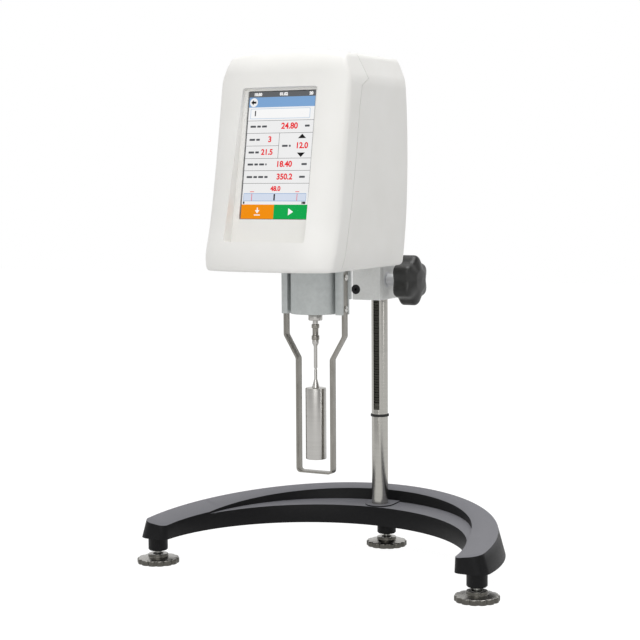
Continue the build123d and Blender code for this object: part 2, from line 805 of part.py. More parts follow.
def lcd_module():
    # framed panel behind the opening, with a raised front that meets the glass
    frame_top = -head_wall - fit
    frame = Rectangle(2 * (screen_half_width + lcd_margin), screen_length + 2 * lcd_margin)
    body = screen_plane(frame_top - lcd_thickness) * extrude(frame, amount=lcd_thickness)
    face = Rectangle(2 * screen_half_width, screen_length)
    face_height = head_wall + fit - glass_sink - glass_thickness - fit
    return body + screen_plane(frame_top - 0.5) * extrude(face, amount=face_height + 0.5)


def board_floor():
    # back of the board, out from the recess floor
    return -head_wall - fit - lcd_thickness - board_standoff - board_thickness


def main_board():
    board = Rectangle(2 * board_half_width, board_length)
    board = fillet(board.vertices(), 2.0)
    holes = board_corners() * Circle(1.6)
    return screen_plane(board_floor()) * extrude(board - holes, amount=board_thickness)


def board_corners():
    # places of the four pillars, beside the frame of the panel
    return GridLocations(2 * board_half_width - 4.8, board_length - 8, 2, 2)


def board_chips():
    # packages and connectors on the back of the board
    low = board_floor()
    sizes = [(0, 12, 16, 16, 2.2), (-20, -14, 12, 9, 2.0), (19, -12, 10, 14, 2.0),
             (-22, 30, 20, 8, 7.5), (22, 34, 14, 7, 6.0), (0, -40, 44, 8, 8.0)]
    return Compound([screen_plane(low - height) * Pos(x, y, 0) * extrude(
        Rectangle(width, length), amount=height) for x, y, width, length, height in sizes])


def board_pillars():
    low = board_floor() + board_thickness
    high = -head_wall
    return Compound([screen_plane(low) * spot * extrude(Circle(2.4), amount=high - low)
                     for spot in board_corners()])


# ---- Bearing housing, guard leg and spindle

def bearing_housing():
    body = rod(housing_radius, housing_bottom, flange_bottom + 1)
    collar = rod(collar_radius, collar_bottom, flange_bottom + 1)
    collar = collar & bar(-50, 50, cheek_half_depth - 2, 50, collar_bottom - 1, flange_bottom + 2)
    body = body + collar + rod(collar_radius, flange_bottom, chassis_bottom)
    for side in (-1, 1):
        x0, x1 = sorted((side * cheek_inner, side * cheek_outer))
        cheek = bar(x0, x1, -cheek_half_depth, cheek_half_depth, cheek_bottom, flange_bottom + 1)
        upright = [edge for edge in cheek.edges().filter_by(Axis.Z) if abs(edge.center().X) > cheek_inner + 1]
        body = body + fillet(upright, 1.5)
    for side in (-1, 1):
        slot = bar(*sorted((side * (strap_outer - strap_thickness), side * (cheek_outer + 2))),
                   -strap_width / 2 - fit, strap_width / 2 + fit, cheek_bottom - 1, strap_top + fit)
        body = body - slot
        for height in guard_screw_heights:
            start, end = sorted((side * (cheek_inner + 0.5), side * (cheek_outer + 1)))
            body = body - cross_rod(1.5 + fit, start, end, 0, height)
    body = body - rod(bearing_radius + fit, bearing_low, chassis_bottom + 1)
    return body - rod(nose_radius - 1.4, housing_bottom - 1, bearing_low + 1)


def nose_bush():
    return turned([(drive_shaft_radius + fit, nose_bottom), (nose_radius - 0.5, nose_bottom),
                   (nose_radius, nose_bottom + 0.5), (nose_radius, housing_bottom - 1.8),
                   (nose_radius - 0.9, housing_bottom - 1.8), (nose_radius - 0.9, housing_bottom - 1.0),
                   (nose_radius, housing_bottom - 1.0), (nose_radius, housing_bottom),
                   (nose_radius - 1.4 - fit, housing_bottom), (nose_radius - 1.4 - fit, bearing_low),
                   (drive_shaft_radius + fit, bearing_low)])


def ball_bearing(bottom):
    # outer ring, inner ring and the shield between them
    top = bottom + bearing_height
    outer = turned([(bearing_radius - 1.6, bottom), (bearing_radius, bottom), (bearing_radius, top),
                    (bearing_radius - 1.6, top)])
    inner = turned([(drive_shaft_radius + fit, bottom), (drive_shaft_radius + 1.5, bottom),
                    (drive_shaft_radius + 1.5, top), (drive_shaft_radius + fit, top)])
    shield = turned([(drive_shaft_radius + 1.6, bottom + 0.3), (bearing_radius - 1.7, bottom + 0.3),
                     (bearing_radius - 1.7, top - 0.3), (drive_shaft_radius + 1.6, top - 0.3)])
    return Compound([outer, inner, shield])


def bearing_spacer():
    return turned([(bearing_radius - 1.4, bearing_low + bearing_height), (bearing_radius, bearing_low + bearing_height),
                   (bearing_radius, bearing_high), (bearing_radius - 1.4, bearing_high)])


def strap_outline(inset):
    # closed outline of the guard leg's loop, open at the top; inset moves it inwards
    high = strap_outer - inset
    low = strap_low_outer - inset
    lean = math.atan2(strap_outer - strap_low_outer, bend_high - bend_low)
    shift = inset * math.tan(lean / 2)
    bottom = strap_bottom + inset
    half = [(high, strap_top), (high, bend_high + shift), (low, bend_low + shift), (low, bottom)]
    points = half + [(-x, z) for x, z in reversed(half)]
    face = make_face(Polyline(*[(x, 0, z) for x, z in points], close=True))
    corners = face.vertices().filter_by(lambda v: v.Z < bottom + 1)
    face = fillet(corners, strap_corner - inset)
    bends = face.vertices().filter_by(lambda v: bend_low - 5 < v.Z < bend_high + 5)
    return fillet(bends, 5.0)


def guard_leg():
    outer = extrude(strap_outline(0), amount=strap_width / 2, both=True)
    inner = extrude(strap_outline(strap_thickness), amount=strap_width, both=True)
    strap = outer - inner
    for side in (-1, 1):
        for height in guard_screw_heights:
            start, end = sorted((side * (strap_outer - 4), side * (strap_outer + 1)))
            strap = strap - cross_rod(1.5 + fit, start, end, 0, height)
    return strap


def guard_screws():
    screws = []
    for side in (-1, 1):
        for height in guard_screw_heights:
            start, end = sorted((side * (cheek_inner + 0.8), side * strap_outer))
            head_start, head_end = sorted((side * strap_outer, side * (strap_outer + 1.7)))
            screw = cross_rod(1.5, start, end, 0, height) + cross_rod(2.9, head_start, head_end, 0, height)
            rim = screw.edges().filter_by(GeomType.CIRCLE).sort_by(lambda e: side * e.center().X)[-1]
            screw = chamfer(rim, 0.7)
            slot_start, slot_end = sorted((side * (strap_outer + 0.8), side * (strap_outer + 2)))
            screw = screw - cross_rod(0.9, slot_start, slot_end, 0, height)
            screws.append(screw)
    return Compound(screws)


def spindle():
    return turned([(0, spindle_bottom), (spindle_radius - 0.4, spindle_bottom),
                   (spindle_radius, spindle_bottom + 0.4), (spindle_radius, spindle_top - 0.4),
                   (spindle_radius - 0.4, spindle_top), (cone_low_radius, spindle_top),
                   (cone_high_radius, cone_top), (cone_high_radius, neck_bottom),
                   (neck_radius, neck_bottom + 0.3), (neck_radius, neck_top - 0.3),
                   (upper_rod_radius, neck_top), (upper_rod_radius, upper_rod_top),
                   (hub_radius, hub_bottom), (hub_radius, hub_top), (spindle_stud_radius, hub_top),
                   (spindle_stud_radius, spindle_stud_top), (0, spindle_stud_top)])


def spindle_coupling():
    stud_hole = spindle_stud_top + 0.6
    return turned([(spindle_stud_radius + fit, hub_top), (nut_ring_radius - 0.4, hub_top),
                   (nut_ring_radius, hub_top + 0.4), (nut_ring_radius, nut_ring_low - 0.4),
                   (nut_radius, nut_ring_low), (nut_radius, nut_ring_high),
                   (nut_ring_radius, nut_ring_high + 0.4), (nut_ring_radius, nut_top - 0.4),
                   (nut_ring_radius - 0.4, nut_top), (drive_thread_radius + fit, nut_top),
                   (drive_thread_radius + fit, stud_hole), (spindle_stud_radius + fit, stud_hole)])


def spindle_shaft():
    return turned([(0, spindle_stud_top + 0.8), (drive_thread_radius, spindle_stud_top + 0.8),
                   (drive_thread_radius, nut_top), (drive_shaft_radius, nut_top),
                   (drive_shaft_radius, drive_shaft_top), (0, drive_shaft_top)])


# ---- Drive inside the head

def chassis_plate():
    half = chassis_half_width
    plate = Rectangle(2 * half, chassis_rear - chassis_front)
    plate = Pos(0, (chassis_rear + chassis_front) / 2) * plate
    for side in (-1, 1):
        ear = Pos(side * ear_x, (ear_front + chassis_front) / 2 + 2) * Rectangle(
            16, chassis_front - ear_front + 4)
        plate = plate + ear
    plate = fillet(plate.vertices(), 1.8)
    body = Pos(0, 0, chassis_bottom) * extrude(plate, amount=chassis_thickness)
    body = body - rod(bearing_radius + 2.0, chassis_bottom - 1, chassis_top + 1)
    for x, y in front_screw_places() + rear_screw_places():
        body = body - rod(1.5 + fit, chassis_bottom - 1, chassis_top + 1, x, y)
    for y in bracket_screw_places():
        body = body - rod(arm_screw_radius + fit, chassis_bottom - 1, chassis_top + 1, 0, y)
    return body


def torsion_spring():
    # flat spiral of half turns, each wider than the last
    start = drive_shaft_radius + 2.6
    step = spring_pitch / 2
    edges = []
    x = start
    for turn in range(2 * spring_turns):
        side = 1 if turn % 2 == 0 else -1
        middle = (x + side * -(abs(x) + step)) / 2 if turn % 2 == 0 else (x + abs(x) + step) / 2
        end = -(abs(x) + step) * side
        radius = abs(end - x) / 2
        edges.append(ThreePointArc((x, 0), (middle, side * radius), (end, 0)))
        x = end
    path = Curve() + edges
    strip = trace(path, spring_strip)
    coil = Pos(0, 0, spring_z) * extrude(strip, amount=spring_height)
    return coil


def spring_end():
    return drive_shaft_radius + 2.6 + spring_turns * spring_pitch


def drive_carrier():
    # upper disc, its hub for the motor shaft, and the pin that holds the spring
    bore = motor_shaft_radius + fit
    body = turned([(bore, upper_disc_z), (disc_radius, upper_disc_z),
                   (disc_radius, upper_disc_z + disc_thickness),
                   (carrier_radius, upper_disc_z + disc_thickness), (carrier_radius, carrier_top),
                   (bore, carrier_top)])
    pin = rod(1.0, spring_z - 0.5, upper_disc_z + 0.5, spring_end() + spring_strip / 2 + 1.0 + fit, 0)
    return body + pin


def spring_collet():
    low = spring_z - 1.0
    return turned([(drive_shaft_radius + fit, low), (drive_shaft_radius + 2.3, low),
                   (drive_shaft_radius + 2.3, drive_shaft_top - fit), (drive_shaft_radius + fit, drive_shaft_top - fit)])


def lower_disc():
    bore = drive_shaft_radius + fit
    hub = drive_shaft_radius + 3.0
    return turned([(bore, lower_disc_z - 3.0), (hub, lower_disc_z - 3.0), (hub, lower_disc_z),
                   (disc_radius, lower_disc_z), (disc_radius, lower_disc_z + disc_thickness),
                   (hub, lower_disc_z + disc_thickness), (hub, lower_disc_z + 4.0),
                   (bore, lower_disc_z + 4.0)])


def sensor_board():
    x = disc_radius + 8.0
    return bar(x, x + 1.6, -14, 14, chassis_top, upper_disc_z + 12)


def disc_sensors():
    # forked light barriers round the edges of the two discs
    sensors = []
    back = disc_radius + 8.0 - fit
    for height, y in ((lower_disc_z, -6.0), (upper_disc_z, 6.0)):
        middle = height + disc_thickness / 2
        body = bar(disc_radius - 4, back, y - 3, y + 3, middle - 4.5, middle + 4.5)
        body = body - bar(disc_radius - 5, disc_radius + 2, y - 4, y + 4, middle - 1.5, middle + 1.5)
        sensors.append(body)
    return Compound(sensors)


def motor_pillars():
    return Compound([rod(pillar_radius, chassis_top, motor_plate_z, x, y)
                     for x, y in pillar_places()])


def pillar_places():
    return [(x, y) for x in (-pillar_offset, pillar_offset) for y in (-pillar_offset, pillar_offset)]


def motor_plate():
    half = pillar_offset + pillar_radius
    plate = fillet(Rectangle(2 * half, 2 * half).vertices(), pillar_radius)
    body = Pos(0, 0, motor_plate_z) * extrude(plate, amount=motor_plate_thickness)
    return body - rod(11.0 + fit, motor_plate_z - 1, motor_plate_z + motor_plate_thickness + 1)


def drive_motor():
    low = motor_plate_z + motor_plate_thickness
    square = Rectangle(2 * motor_half, 2 * motor_half)
    square = chamfer(square.vertices(), 4.0)
    body = Pos(0, 0, low) * extrude(square, amount=motor_height)
    body = body + rod(11.0, low - 2.0, low + 1)
    groove = Rectangle(2 * motor_half + 2, 2 * motor_half + 2) - chamfer(
        Rectangle(2 * motor_half - 1.6, 2 * motor_half - 1.6).vertices(), 4.0)
    body = body - Pos(0, 0, low + 8.0) * extrude(groove, amount=motor_height - 16.0)
    return body - rod(motor_shaft_radius + fit, low - 3, low + motor_height - 4)


def motor_shaft():
    return rod(motor_shaft_radius, upper_disc_z + 1.0, motor_plate_z + motor_plate_thickness + motor_height - 5)


# ---- Rear panel fittings

def panel_middle():
    return (panel_low + panel_high) / 2


def switch_hole():
    z = panel_middle()
    return bar(switch_x - switch_half_width - fit, switch_x + switch_half_width + fit, panel_y - 20,
               panel_y + 20, z - switch_half_height - fit, z + switch_half_height + fit)


def inlet_hole():
    return Pos(inlet_x, panel_y - 20, panel_middle()) * Rot(-90, 0, 0) * Cylinder(
        inlet_radius + fit, 40, align=on_base)


def power_switch():
    z = panel_middle()
    out = switch_half_width + switch_bezel
    up = switch_half_height + switch_bezel
    body = bar(switch_x - out, switch_x + out, panel_y, panel_y + 1.8, z - up, z + up)
    body = chamfer(body.edges().filter_by(Axis.Y), 1.0)
    body = body + bar(switch_x - switch_half_width, switch_x + switch_half_width, panel_y - 12,
                      panel_y + 1, z - switch_half_height, z + switch_half_height)
    well = bar(switch_x - switch_half_width + 1.2, switch_x + switch_half_width - 1.2, panel_y - 8,
               panel_y + 3, z - switch_half_height + 0.9, z + switch_half_height - 0.9)
    pivot = cross_rod(1.2, switch_x - switch_half_width - 0.2, switch_x + switch_half_width + 0.2,
                      rocker_pivot_y(), z)
    return body - well + pivot


def rocker_pivot_y():
    return panel_y - 4.0


def power_rocker():
    # paddle drawn upright with its pivot at the origin, leaning to the off side
    half = switch_half_height - 2.5
    face = rocker_face()
    side_view = make_face(Polyline((0, -3.0, -2.6), (0, 4.2, -half), (0, face, -half), (0, face - 1.3, 0),
                                   (0, face, half), (0, 4.2, half), (0, -3.0, 2.6), close=True))
    width = 2 * (switch_half_width - 1.2 - gap)
    body = extrude(side_view, amount=width / 2, both=True, dir=(1, 0, 0))
    body = body - Rot(0, 90, 0) * Cylinder(1.2 + fit, width + 2)
    return Pos(switch_x, rocker_pivot_y(), panel_middle()) * Rot(-rocker_tilt, 0, 0) * body


def rocker_face():
    return panel_y + 4.0 - rocker_pivot_y() - 1.0


def power_inlet():
    z = panel_middle()
    turn = Pos(inlet_x, panel_y, z) * Rot(-90, 0, 0)
    flange = Cylinder(inlet_radius + 2.0, 2.0, align=on_base)
    flange = chamfer(flange.edges().sort_by(Axis.Z)[-1], 0.6)
    body = flange + Pos(0, 0, -12) * Cylinder(inlet_radius, 12.5, align=on_base)
    body = body - Pos(0, 0, -9) * Cylinder(3.2, 12, align=on_base)
    return turn * (body + Pos(0, 0, -9.5) * Cylinder(1.0, 9.5, align=on_base))


# ---- All pieces

def stand_pieces():
    save("base_casting", base_casting())
    save("post", post())
    ring_top = stop_ring_bottom + stop_ring_height
    save("post_stop_ring", turned_at_post([
        (post_radius + fit, stop_ring_bottom), (stop_ring_radius - 0.4, stop_ring_bottom),
        (stop_ring_radius, stop_ring_bottom + 0.4), (stop_ring_radius, ring_top - 0.4),
        (stop_ring_radius - 0.4, ring_top), (post_radius + fit, ring_top)]))
    head_low = base_bottom + gap
    washer_low = head_low + post_bolt_head_height
    save("post_washer", turned_at_post([
        (post_bolt_radius + 0.3, washer_low), (washer_radius, washer_low),
        (washer_radius, washer_low + washer_thickness), (post_bolt_radius + 0.3, washer_low + washer_thickness)]))
    bolt = rod(post_bolt_head_radius, head_low, washer_low, 0, post_y)
    bolt = bolt + rod(post_bolt_radius, washer_low, post_bottom + post_bolt_reach - 1, 0, post_y)
    save("post_bolt", bolt - Pos(0, post_y, head_low) * extrude(RegularPolygon(2.8, 6), amount=3.0))


def turned_at_post(points):
    return Pos(0, post_y, 0) * turned(points)


def foot_pieces():
    for name, (x, y) in foot_places().items():
        save(f"foot_disc_{name}", Pos(x, y, 0) * foot_disc())
        save(f"foot_stud_{name}", Pos(x, y, 0) * foot_stud())


def carriage_pieces():
    save("carriage_block", carriage_block())
    save("shaft_bush", shaft_bush())
    save("pinion_shaft", pinion_shaft())
    save("knob_hub", knob_hub())
    save("lift_knob", lift_knob())
    save("tension_pad", tension_pad())
    save("tension_screw", tension_screw())
    save("arm_bracket", arm_bracket())
    save("arm_screws", arm_screws())
    save("bracket_screws", bracket_screws())


def head_pieces():
    front, rear = head_shells()
    save("head_front_shell", front)
    save("head_rear_shell", rear)
    save("shell_screws", shell_screws())
    save("touch_glass", touch_glass())
    save("lcd_module", lcd_module())
    save("main_board", main_board())
    save("board_chips", board_chips())
    save("board_pillars", board_pillars())
    save("power_switch", power_switch())
    save("power_rocker", power_rocker())
    save("power_inlet", power_inlet())


def drive_pieces():
    save("chassis_plate", chassis_plate())
    save("motor_pillars", motor_pillars())
    save("motor_plate", motor_plate())
    save("drive_motor", drive_motor())
    save("motor_shaft", motor_shaft())
    save("drive_carrier", drive_carrier())
    save("torsion_spring", torsion_spring())
    save("spring_collet", spring_collet())
    save("lower_disc", lower_disc())
    save("sensor_board", sensor_board())
    save("disc_sensors", disc_sensors())


def spindle_pieces():
    save("bearing_housing", bearing_housing())
    save("nose_bush", nose_bush())
    save("bearing_lower", ball_bearing(bearing_low))
    save("bearing_upper", ball_bearing(bearing_high))
    save("bearing_spacer", bearing_spacer())
    save("spindle_shaft", spindle_shaft())
    save("spindle_coupling", spindle_coupling())
    save("spindle", spindle())
    save("guard_leg", guard_leg())
    save("guard_screws", guard_screws())


stand_pieces()
foot_pieces()
carriage_pieces()
head_pieces()
drive_pieces()
spindle_pieces()
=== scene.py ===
import json
import math
import bpy
import bmesh
import numpy as np
from mathutils import Matrix, Vector

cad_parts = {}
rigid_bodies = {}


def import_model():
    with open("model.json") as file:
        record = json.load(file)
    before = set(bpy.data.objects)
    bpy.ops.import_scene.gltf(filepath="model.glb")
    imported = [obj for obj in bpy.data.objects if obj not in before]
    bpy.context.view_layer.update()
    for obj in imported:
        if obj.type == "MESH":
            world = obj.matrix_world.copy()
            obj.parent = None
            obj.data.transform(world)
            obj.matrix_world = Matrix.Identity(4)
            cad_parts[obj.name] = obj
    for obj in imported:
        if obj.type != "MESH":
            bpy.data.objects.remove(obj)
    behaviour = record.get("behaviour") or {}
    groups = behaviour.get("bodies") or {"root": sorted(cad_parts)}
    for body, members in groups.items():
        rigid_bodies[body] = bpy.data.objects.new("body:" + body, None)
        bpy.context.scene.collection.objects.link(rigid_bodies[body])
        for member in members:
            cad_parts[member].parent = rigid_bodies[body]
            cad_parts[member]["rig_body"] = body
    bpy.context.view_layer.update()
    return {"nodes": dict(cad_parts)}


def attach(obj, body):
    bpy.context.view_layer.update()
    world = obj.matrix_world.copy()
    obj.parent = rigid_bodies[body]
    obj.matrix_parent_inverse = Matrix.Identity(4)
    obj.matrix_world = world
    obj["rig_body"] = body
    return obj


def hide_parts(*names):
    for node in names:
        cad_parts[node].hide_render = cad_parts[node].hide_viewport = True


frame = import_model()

print("stage: frame loaded,", len(frame["nodes"]), "nodes")

# The spindle's axis stands at x = 0, y = spindleY. Sizes below are in metres unless a name says mm.
spindleY = -0.033
mm = 0.001


# ---------- small helpers

def linearColour(hexColour):
    # sRGB hex to the linear values that the sockets take
    parts = [int(hexColour[i:i + 2], 16) / 255 for i in (1, 3, 5)]
    return tuple(p / 12.92 if p <= 0.04045 else ((p + 0.055) / 1.055) ** 2.4 for p in parts) + (1.0,)


def addNode(tree, kind, inputs=None, **settings):
    # one node with its settings, its values and its links; a link is given as (node, output)
    node = tree.nodes.new(kind)
    for key, value in settings.items():
        setattr(node, key, value)
    for socket, value in (inputs or {}).items():
        if isinstance(value, tuple) and len(value) == 2 and isinstance(value[0], bpy.types.Node):
            tree.links.new(value[0].outputs[value[1]], node.inputs[socket])
        else:
            node.inputs[socket].default_value = value
    return node


def calc(tree, operation, *values):
    # math node on numbers or links; gives the link to its result
    return addNode(tree, "ShaderNodeMath", dict(enumerate(values)), operation=operation), 0


def mixed(tree, factor, first, second):
    # mix of two colours; gives the link to it
    return addNode(tree, "ShaderNodeMix", {"Factor": factor, "A": first, "B": second},
                   data_type="RGBA"), 2


def addObject(name, data):
    # new object in the scene's collection
    thing = bpy.data.objects.new(name, data)
    bpy.context.scene.collection.objects.link(thing)
    return thing


def newMaterial(name):
    # material with an empty tree, and the tree
    material = bpy.data.materials.new(name)
    material.use_nodes = True
    material.node_tree.nodes.clear()
    return material, material.node_tree


def perSize(sizeMm):
    # noise scale for features of this size
    return 1000.0 / sizeMm


def greaseAndShadeStrip(tree, place, limits):
    # 1 on the rack's strip, darkened for its grease and as painted shade between its teeth: within a half
    # width of x = 0, in front of a y, between two heights
    halfWidth, frontY, lowZ, highZ = limits
    spot = addNode(tree, "ShaderNodeSeparateXYZ", {"Vector": (place, "Object")})
    strip = calc(tree, "LESS_THAN", calc(tree, "ABSOLUTE", (spot, "X")), halfWidth)
    sides = (("Y", frontY, "LESS_THAN"), ("Z", lowZ, "GREATER_THAN"), ("Z", highZ, "LESS_THAN"))
    for axis, limit, test in sides:
        strip = calc(tree, "MULTIPLY", strip, calc(tree, test, (spot, axis), limit))
    return strip


def makeFinish(name, look):
    # procedural finish: patches of tone, grain in the roughness and a fine relief
    finish, tree = newMaterial(name)
    place = addNode(tree, "ShaderNodeTexCoord")
    pattern = (place, "Object")
    if look.get("turnedAt"):
        # rings about an upright axis: the pattern is read by radius and height only
        centred = addNode(tree, "ShaderNodeMapping", {"Vector": pattern, "Location": look["turnedAt"]})
        flat = addNode(tree, "ShaderNodeVectorMath", {0: (centred, "Vector"), 1: (1, 1, 0)},
                       operation="MULTIPLY")
        radius = addNode(tree, "ShaderNodeVectorMath", {0: (flat, "Vector")}, operation="LENGTH")
        parts = addNode(tree, "ShaderNodeSeparateXYZ", {"Vector": (centred, "Vector")})
        rings = addNode(tree, "ShaderNodeCombineXYZ", {"X": (radius, "Value"), "Z": (parts, "Z")})
        pattern = (rings, "Vector")
    if look.get("stretch"):
        drawn = addNode(tree, "ShaderNodeMapping", {"Vector": pattern, "Scale": look["stretch"]})
        pattern = (drawn, "Vector")
    patches = addNode(tree, "ShaderNodeTexNoise", {"Vector": pattern, "Scale": perSize(look["patchMm"]),
                                                   "Detail": 4.0, "Roughness": 0.6})
    grain = addNode(tree, "ShaderNodeTexNoise", {"Vector": pattern, "Scale": perSize(look["grainMm"]),
                                                 "Detail": 3.0, "Roughness": 0.55})
    spread = {"From Min": 0.3, "From Max": 0.7}  # where nearly all of a noise's values lie
    tone = addNode(tree, "ShaderNodeMapRange", {"Value": (patches, "Fac"), **spread})
    colour = mixed(tree, (tone, "Result"), *map(linearColour, look["tones"]))
    if look.get("paintedTopTone"):
        # painted light: faces that look up are painted paler, standing in for the overhead light and grazing
        # reflection they catch
        facing = addNode(tree, "ShaderNodeNewGeometry")
        upward = addNode(tree, "ShaderNodeSeparateXYZ", {"Vector": (facing, "Normal")})
        paintedTopLight = addNode(tree, "ShaderNodeMapRange", {"Value": (upward, "Z"), "From Min": 0.35,
                                                    "From Max": 0.95})
        colour = mixed(tree, (paintedTopLight, "Result"), colour, linearColour(look["paintedTopTone"]))
    # rack strip darkened: partly grease, partly painted shade of its teeth
    if look.get("greaseAndShade"):
        colour = mixed(tree, greaseAndShadeStrip(tree, place, look["greaseAndShade"]), colour,
                       linearColour(greaseAndShadeColour))
    low, high = look["rough"]
    rough = addNode(tree, "ShaderNodeMapRange", {"Value": (grain, "Fac"), "To Min": low, "To Max": high,
                                                 **spread})
    relief = addNode(tree, "ShaderNodeBump", {"Height": (grain, "Fac"), "Distance": look["reliefMm"] * mm,
                                              "Strength": 1.0})
    shader = addNode(tree, "ShaderNodeBsdfPrincipled", {"Base Color": colour,
                                                        "Roughness": (rough, "Result"),
                                                        "Normal": (relief, "Normal"),
                                                        "Metallic": look.get("metallic", 0.0),
                                                        "IOR": look.get("ior", 1.5)})
    for socket, value in look.get("sockets", {}).items():
        shader.inputs[socket].default_value = value
    addNode(tree, "ShaderNodeOutputMaterial", {"Surface": (shader, "BSDF")})
    return finish


# ---------- finishes

spindleAxis = (0.0, -spindleY, 0.0)
postAxis = (0.0, -0.102, 0.0)
# colour of the rack strip: grease, and painted shade of its teeth
greaseAndShadeColour = "#5A5952"

finishes = {
    # ABS moulding, spark-eroded fine texture: soft broad highlights, hardly any grain at arm's length
    "mouldedAbsWhite": dict(tones=("#EDECE9", "#E9E8E4"), patchMm=60, grainMm=0.8, rough=(0.36, 0.46),
                            reliefMm=0.012, ior=1.53),
    "mouldedAbsGrey": dict(tones=("#EBEAE7", "#E6E5E1"), patchMm=60, grainMm=0.8, rough=(0.36, 0.46),
                           reliefMm=0.012, ior=1.53),
    # textured enamel on cast iron: dark grey with a fine sandy relief that breaks up the light; faces that
    # look up are painted paler, a painted highlight from the light above
    "texturedEnamel": dict(tones=("#0F0F11", "#0A0A0C"), paintedTopTone="#707075", patchMm=5, grainMm=0.7,
                           rough=(0.38, 0.54), reliefMm=0.13, sockets={"Specular IOR Level": 0.22}),
    # ground steel bar: bright, with fine rings round it, and the rack's strip darkened for grease and as
    # painted shade of its teeth
    "groundSteel": dict(tones=("#C6C4BE", "#BEBCB6"), patchMm=9, grainMm=0.5, rough=(0.20, 0.27),
                        reliefMm=0.003, metallic=1.0, turnedAt=postAxis, stretch=(1, 1, 3),
                        greaseAndShade=(0.0031, 0.0966, 0.1385, 0.405)),
    # turned stainless steel: satin rings about the spindle's axis
    "turnedStainless": dict(tones=("#D2D0CC", "#CAC8C4"), patchMm=6, grainMm=0.35, rough=(0.27, 0.31),
                            reliefMm=0.001, metallic=1.0, turnedAt=spindleAxis, stretch=(1, 1, 3)),
    # rolled stainless strip, brushed along its length
    "brushedStainless": dict(tones=("#A8A59E", "#98958E"), patchMm=5, grainMm=0.4, rough=(0.26, 0.36),
                             reliefMm=0.008, metallic=1.0, stretch=(5, 1, 0.35)),
    # silver paint on die-cast aluminium: pale, even, softly speckled
    "silverPaint": dict(tones=("#E8E9E7", "#DFE0DE"), patchMm=3, grainMm=0.5, rough=(0.40, 0.52),
                        reliefMm=0.02, metallic=0.2),
    # satin anodised aluminium: pale and smooth
    "satinAnodised": dict(tones=("#E2E3E5", "#D9DADC"), patchMm=6, grainMm=0.5, rough=(0.32, 0.42),
                          reliefMm=0.006, metallic=0.25),
    # bead-blasted anodised aluminium: cool mid grey without any direction
    "blastedAluminium": dict(tones=("#C8CCCB", "#BDC1C0"), patchMm=4, grainMm=0.5, rough=(0.42, 0.55),
                             reliefMm=0.02, metallic=0.45),
    # milled aluminium plate: bright, with straight cutter marks
    "milledAluminium": dict(tones=("#C6C8C9", "#B2B4B6"), patchMm=7, grainMm=0.6, rough=(0.28, 0.42),
                            reliefMm=0.01, metallic=1.0, stretch=(0.3, 3, 1)),
    # phenolic grip: black, slightly greyed where hands rub it
    "phenolicBlack": dict(tones=("#212120", "#2A2A29"), patchMm=9, grainMm=0.7, rough=(0.30, 0.44),
                          reliefMm=0.015),
    # bright machine screws: the countersunk heads catch the light
    "brightScrew": dict(tones=("#E4E4E1", "#D2D1CD"), patchMm=3, grainMm=0.4, rough=(0.16, 0.26),
                        reliefMm=0.004, metallic=1.0),
    # zinc plate on steel fastenings: cool and lightly clouded
    "zincPlate": dict(tones=("#B4B5B2", "#8F8E8A"), patchMm=3, grainMm=0.4, rough=(0.22, 0.38),
                      reliefMm=0.006, metallic=1.0),
    # black oxide on socket screws: near black with a soft sheen
    "blackOxide": dict(tones=("#2A2A2C", "#1E1E20"), patchMm=3, grainMm=0.4, rough=(0.35, 0.5),
                       reliefMm=0.006, metallic=0.6),
    # satin nickel on die-cast zinc: painted light, the top painted bright as a painted highlight and the
    # flanks darker as painted shade where they face the bench
    "nickelPlate": dict(tones=("#6E6C66", "#605E59"), paintedTopTone="#B3B1AC", patchMm=5, grainMm=0.5,
                        rough=(0.24, 0.36), reliefMm=0.008, metallic=1.0),
    # nitrile ring: black and dull
    "rubberBlack": dict(tones=("#1A1A1A", "#141414"), patchMm=3, grainMm=0.4, rough=(0.5, 0.65),
                        reliefMm=0.01),
    # natural nylon: creamy and dull
    "nylonNatural": dict(tones=("#DAD7CE", "#CFCBC0"), patchMm=5, grainMm=0.6, rough=(0.4, 0.55),
                         reliefMm=0.01),
    # turned brass: warm yellow with a clean shine
    "turnedBrass": dict(tones=("#C9A95F", "#B2914A"), patchMm=4, grainMm=0.4, rough=(0.25, 0.38),
                        reliefMm=0.006, metallic=1.0),
    # solder resist on the board: deep green, glossy
    "solderResist": dict(tones=("#1F6E3D", "#185A31"), patchMm=8, grainMm=0.8, rough=(0.3, 0.42),
                         reliefMm=0.01),
    # moulded epoxy of the components: flat black
    "epoxyBlack": dict(tones=("#222224", "#19191B"), patchMm=4, grainMm=0.5, rough=(0.4, 0.55),
                       reliefMm=0.02),
    # lacquer on the motor's laminations: dark, faintly metallic
    "lacqueredMotor": dict(tones=("#2B2C2F", "#222326"), patchMm=6, grainMm=0.5, rough=(0.3, 0.45),
                           reliefMm=0.01, metallic=0.3),
    # tempered spring strip: blue grey, bright
    "temperedSteel": dict(tones=("#8F9096", "#74757B"), patchMm=3, grainMm=0.4, rough=(0.25, 0.4),
                          reliefMm=0.005, metallic=1.0),
    # black acetal: smooth and satin
    "acetalBlack": dict(tones=("#232326", "#1B1B1E"), patchMm=6, grainMm=0.6, rough=(0.35, 0.5),
                        reliefMm=0.01),
    # polished black moulding of switch and inlet: small sharp lights
    "switchBlack": dict(tones=("#202022", "#171719"), patchMm=6, grainMm=0.7, rough=(0.22, 0.34),
                        reliefMm=0.008),
    # painted steel frame of the display panel: dark grey, even
    "panelFrame": dict(tones=("#3A3C40", "#303236"), patchMm=6, grainMm=0.6, rough=(0.35, 0.45),
                       reliefMm=0.005),
}
finish = {name: makeFinish(name, look) for name, look in finishes.items()}

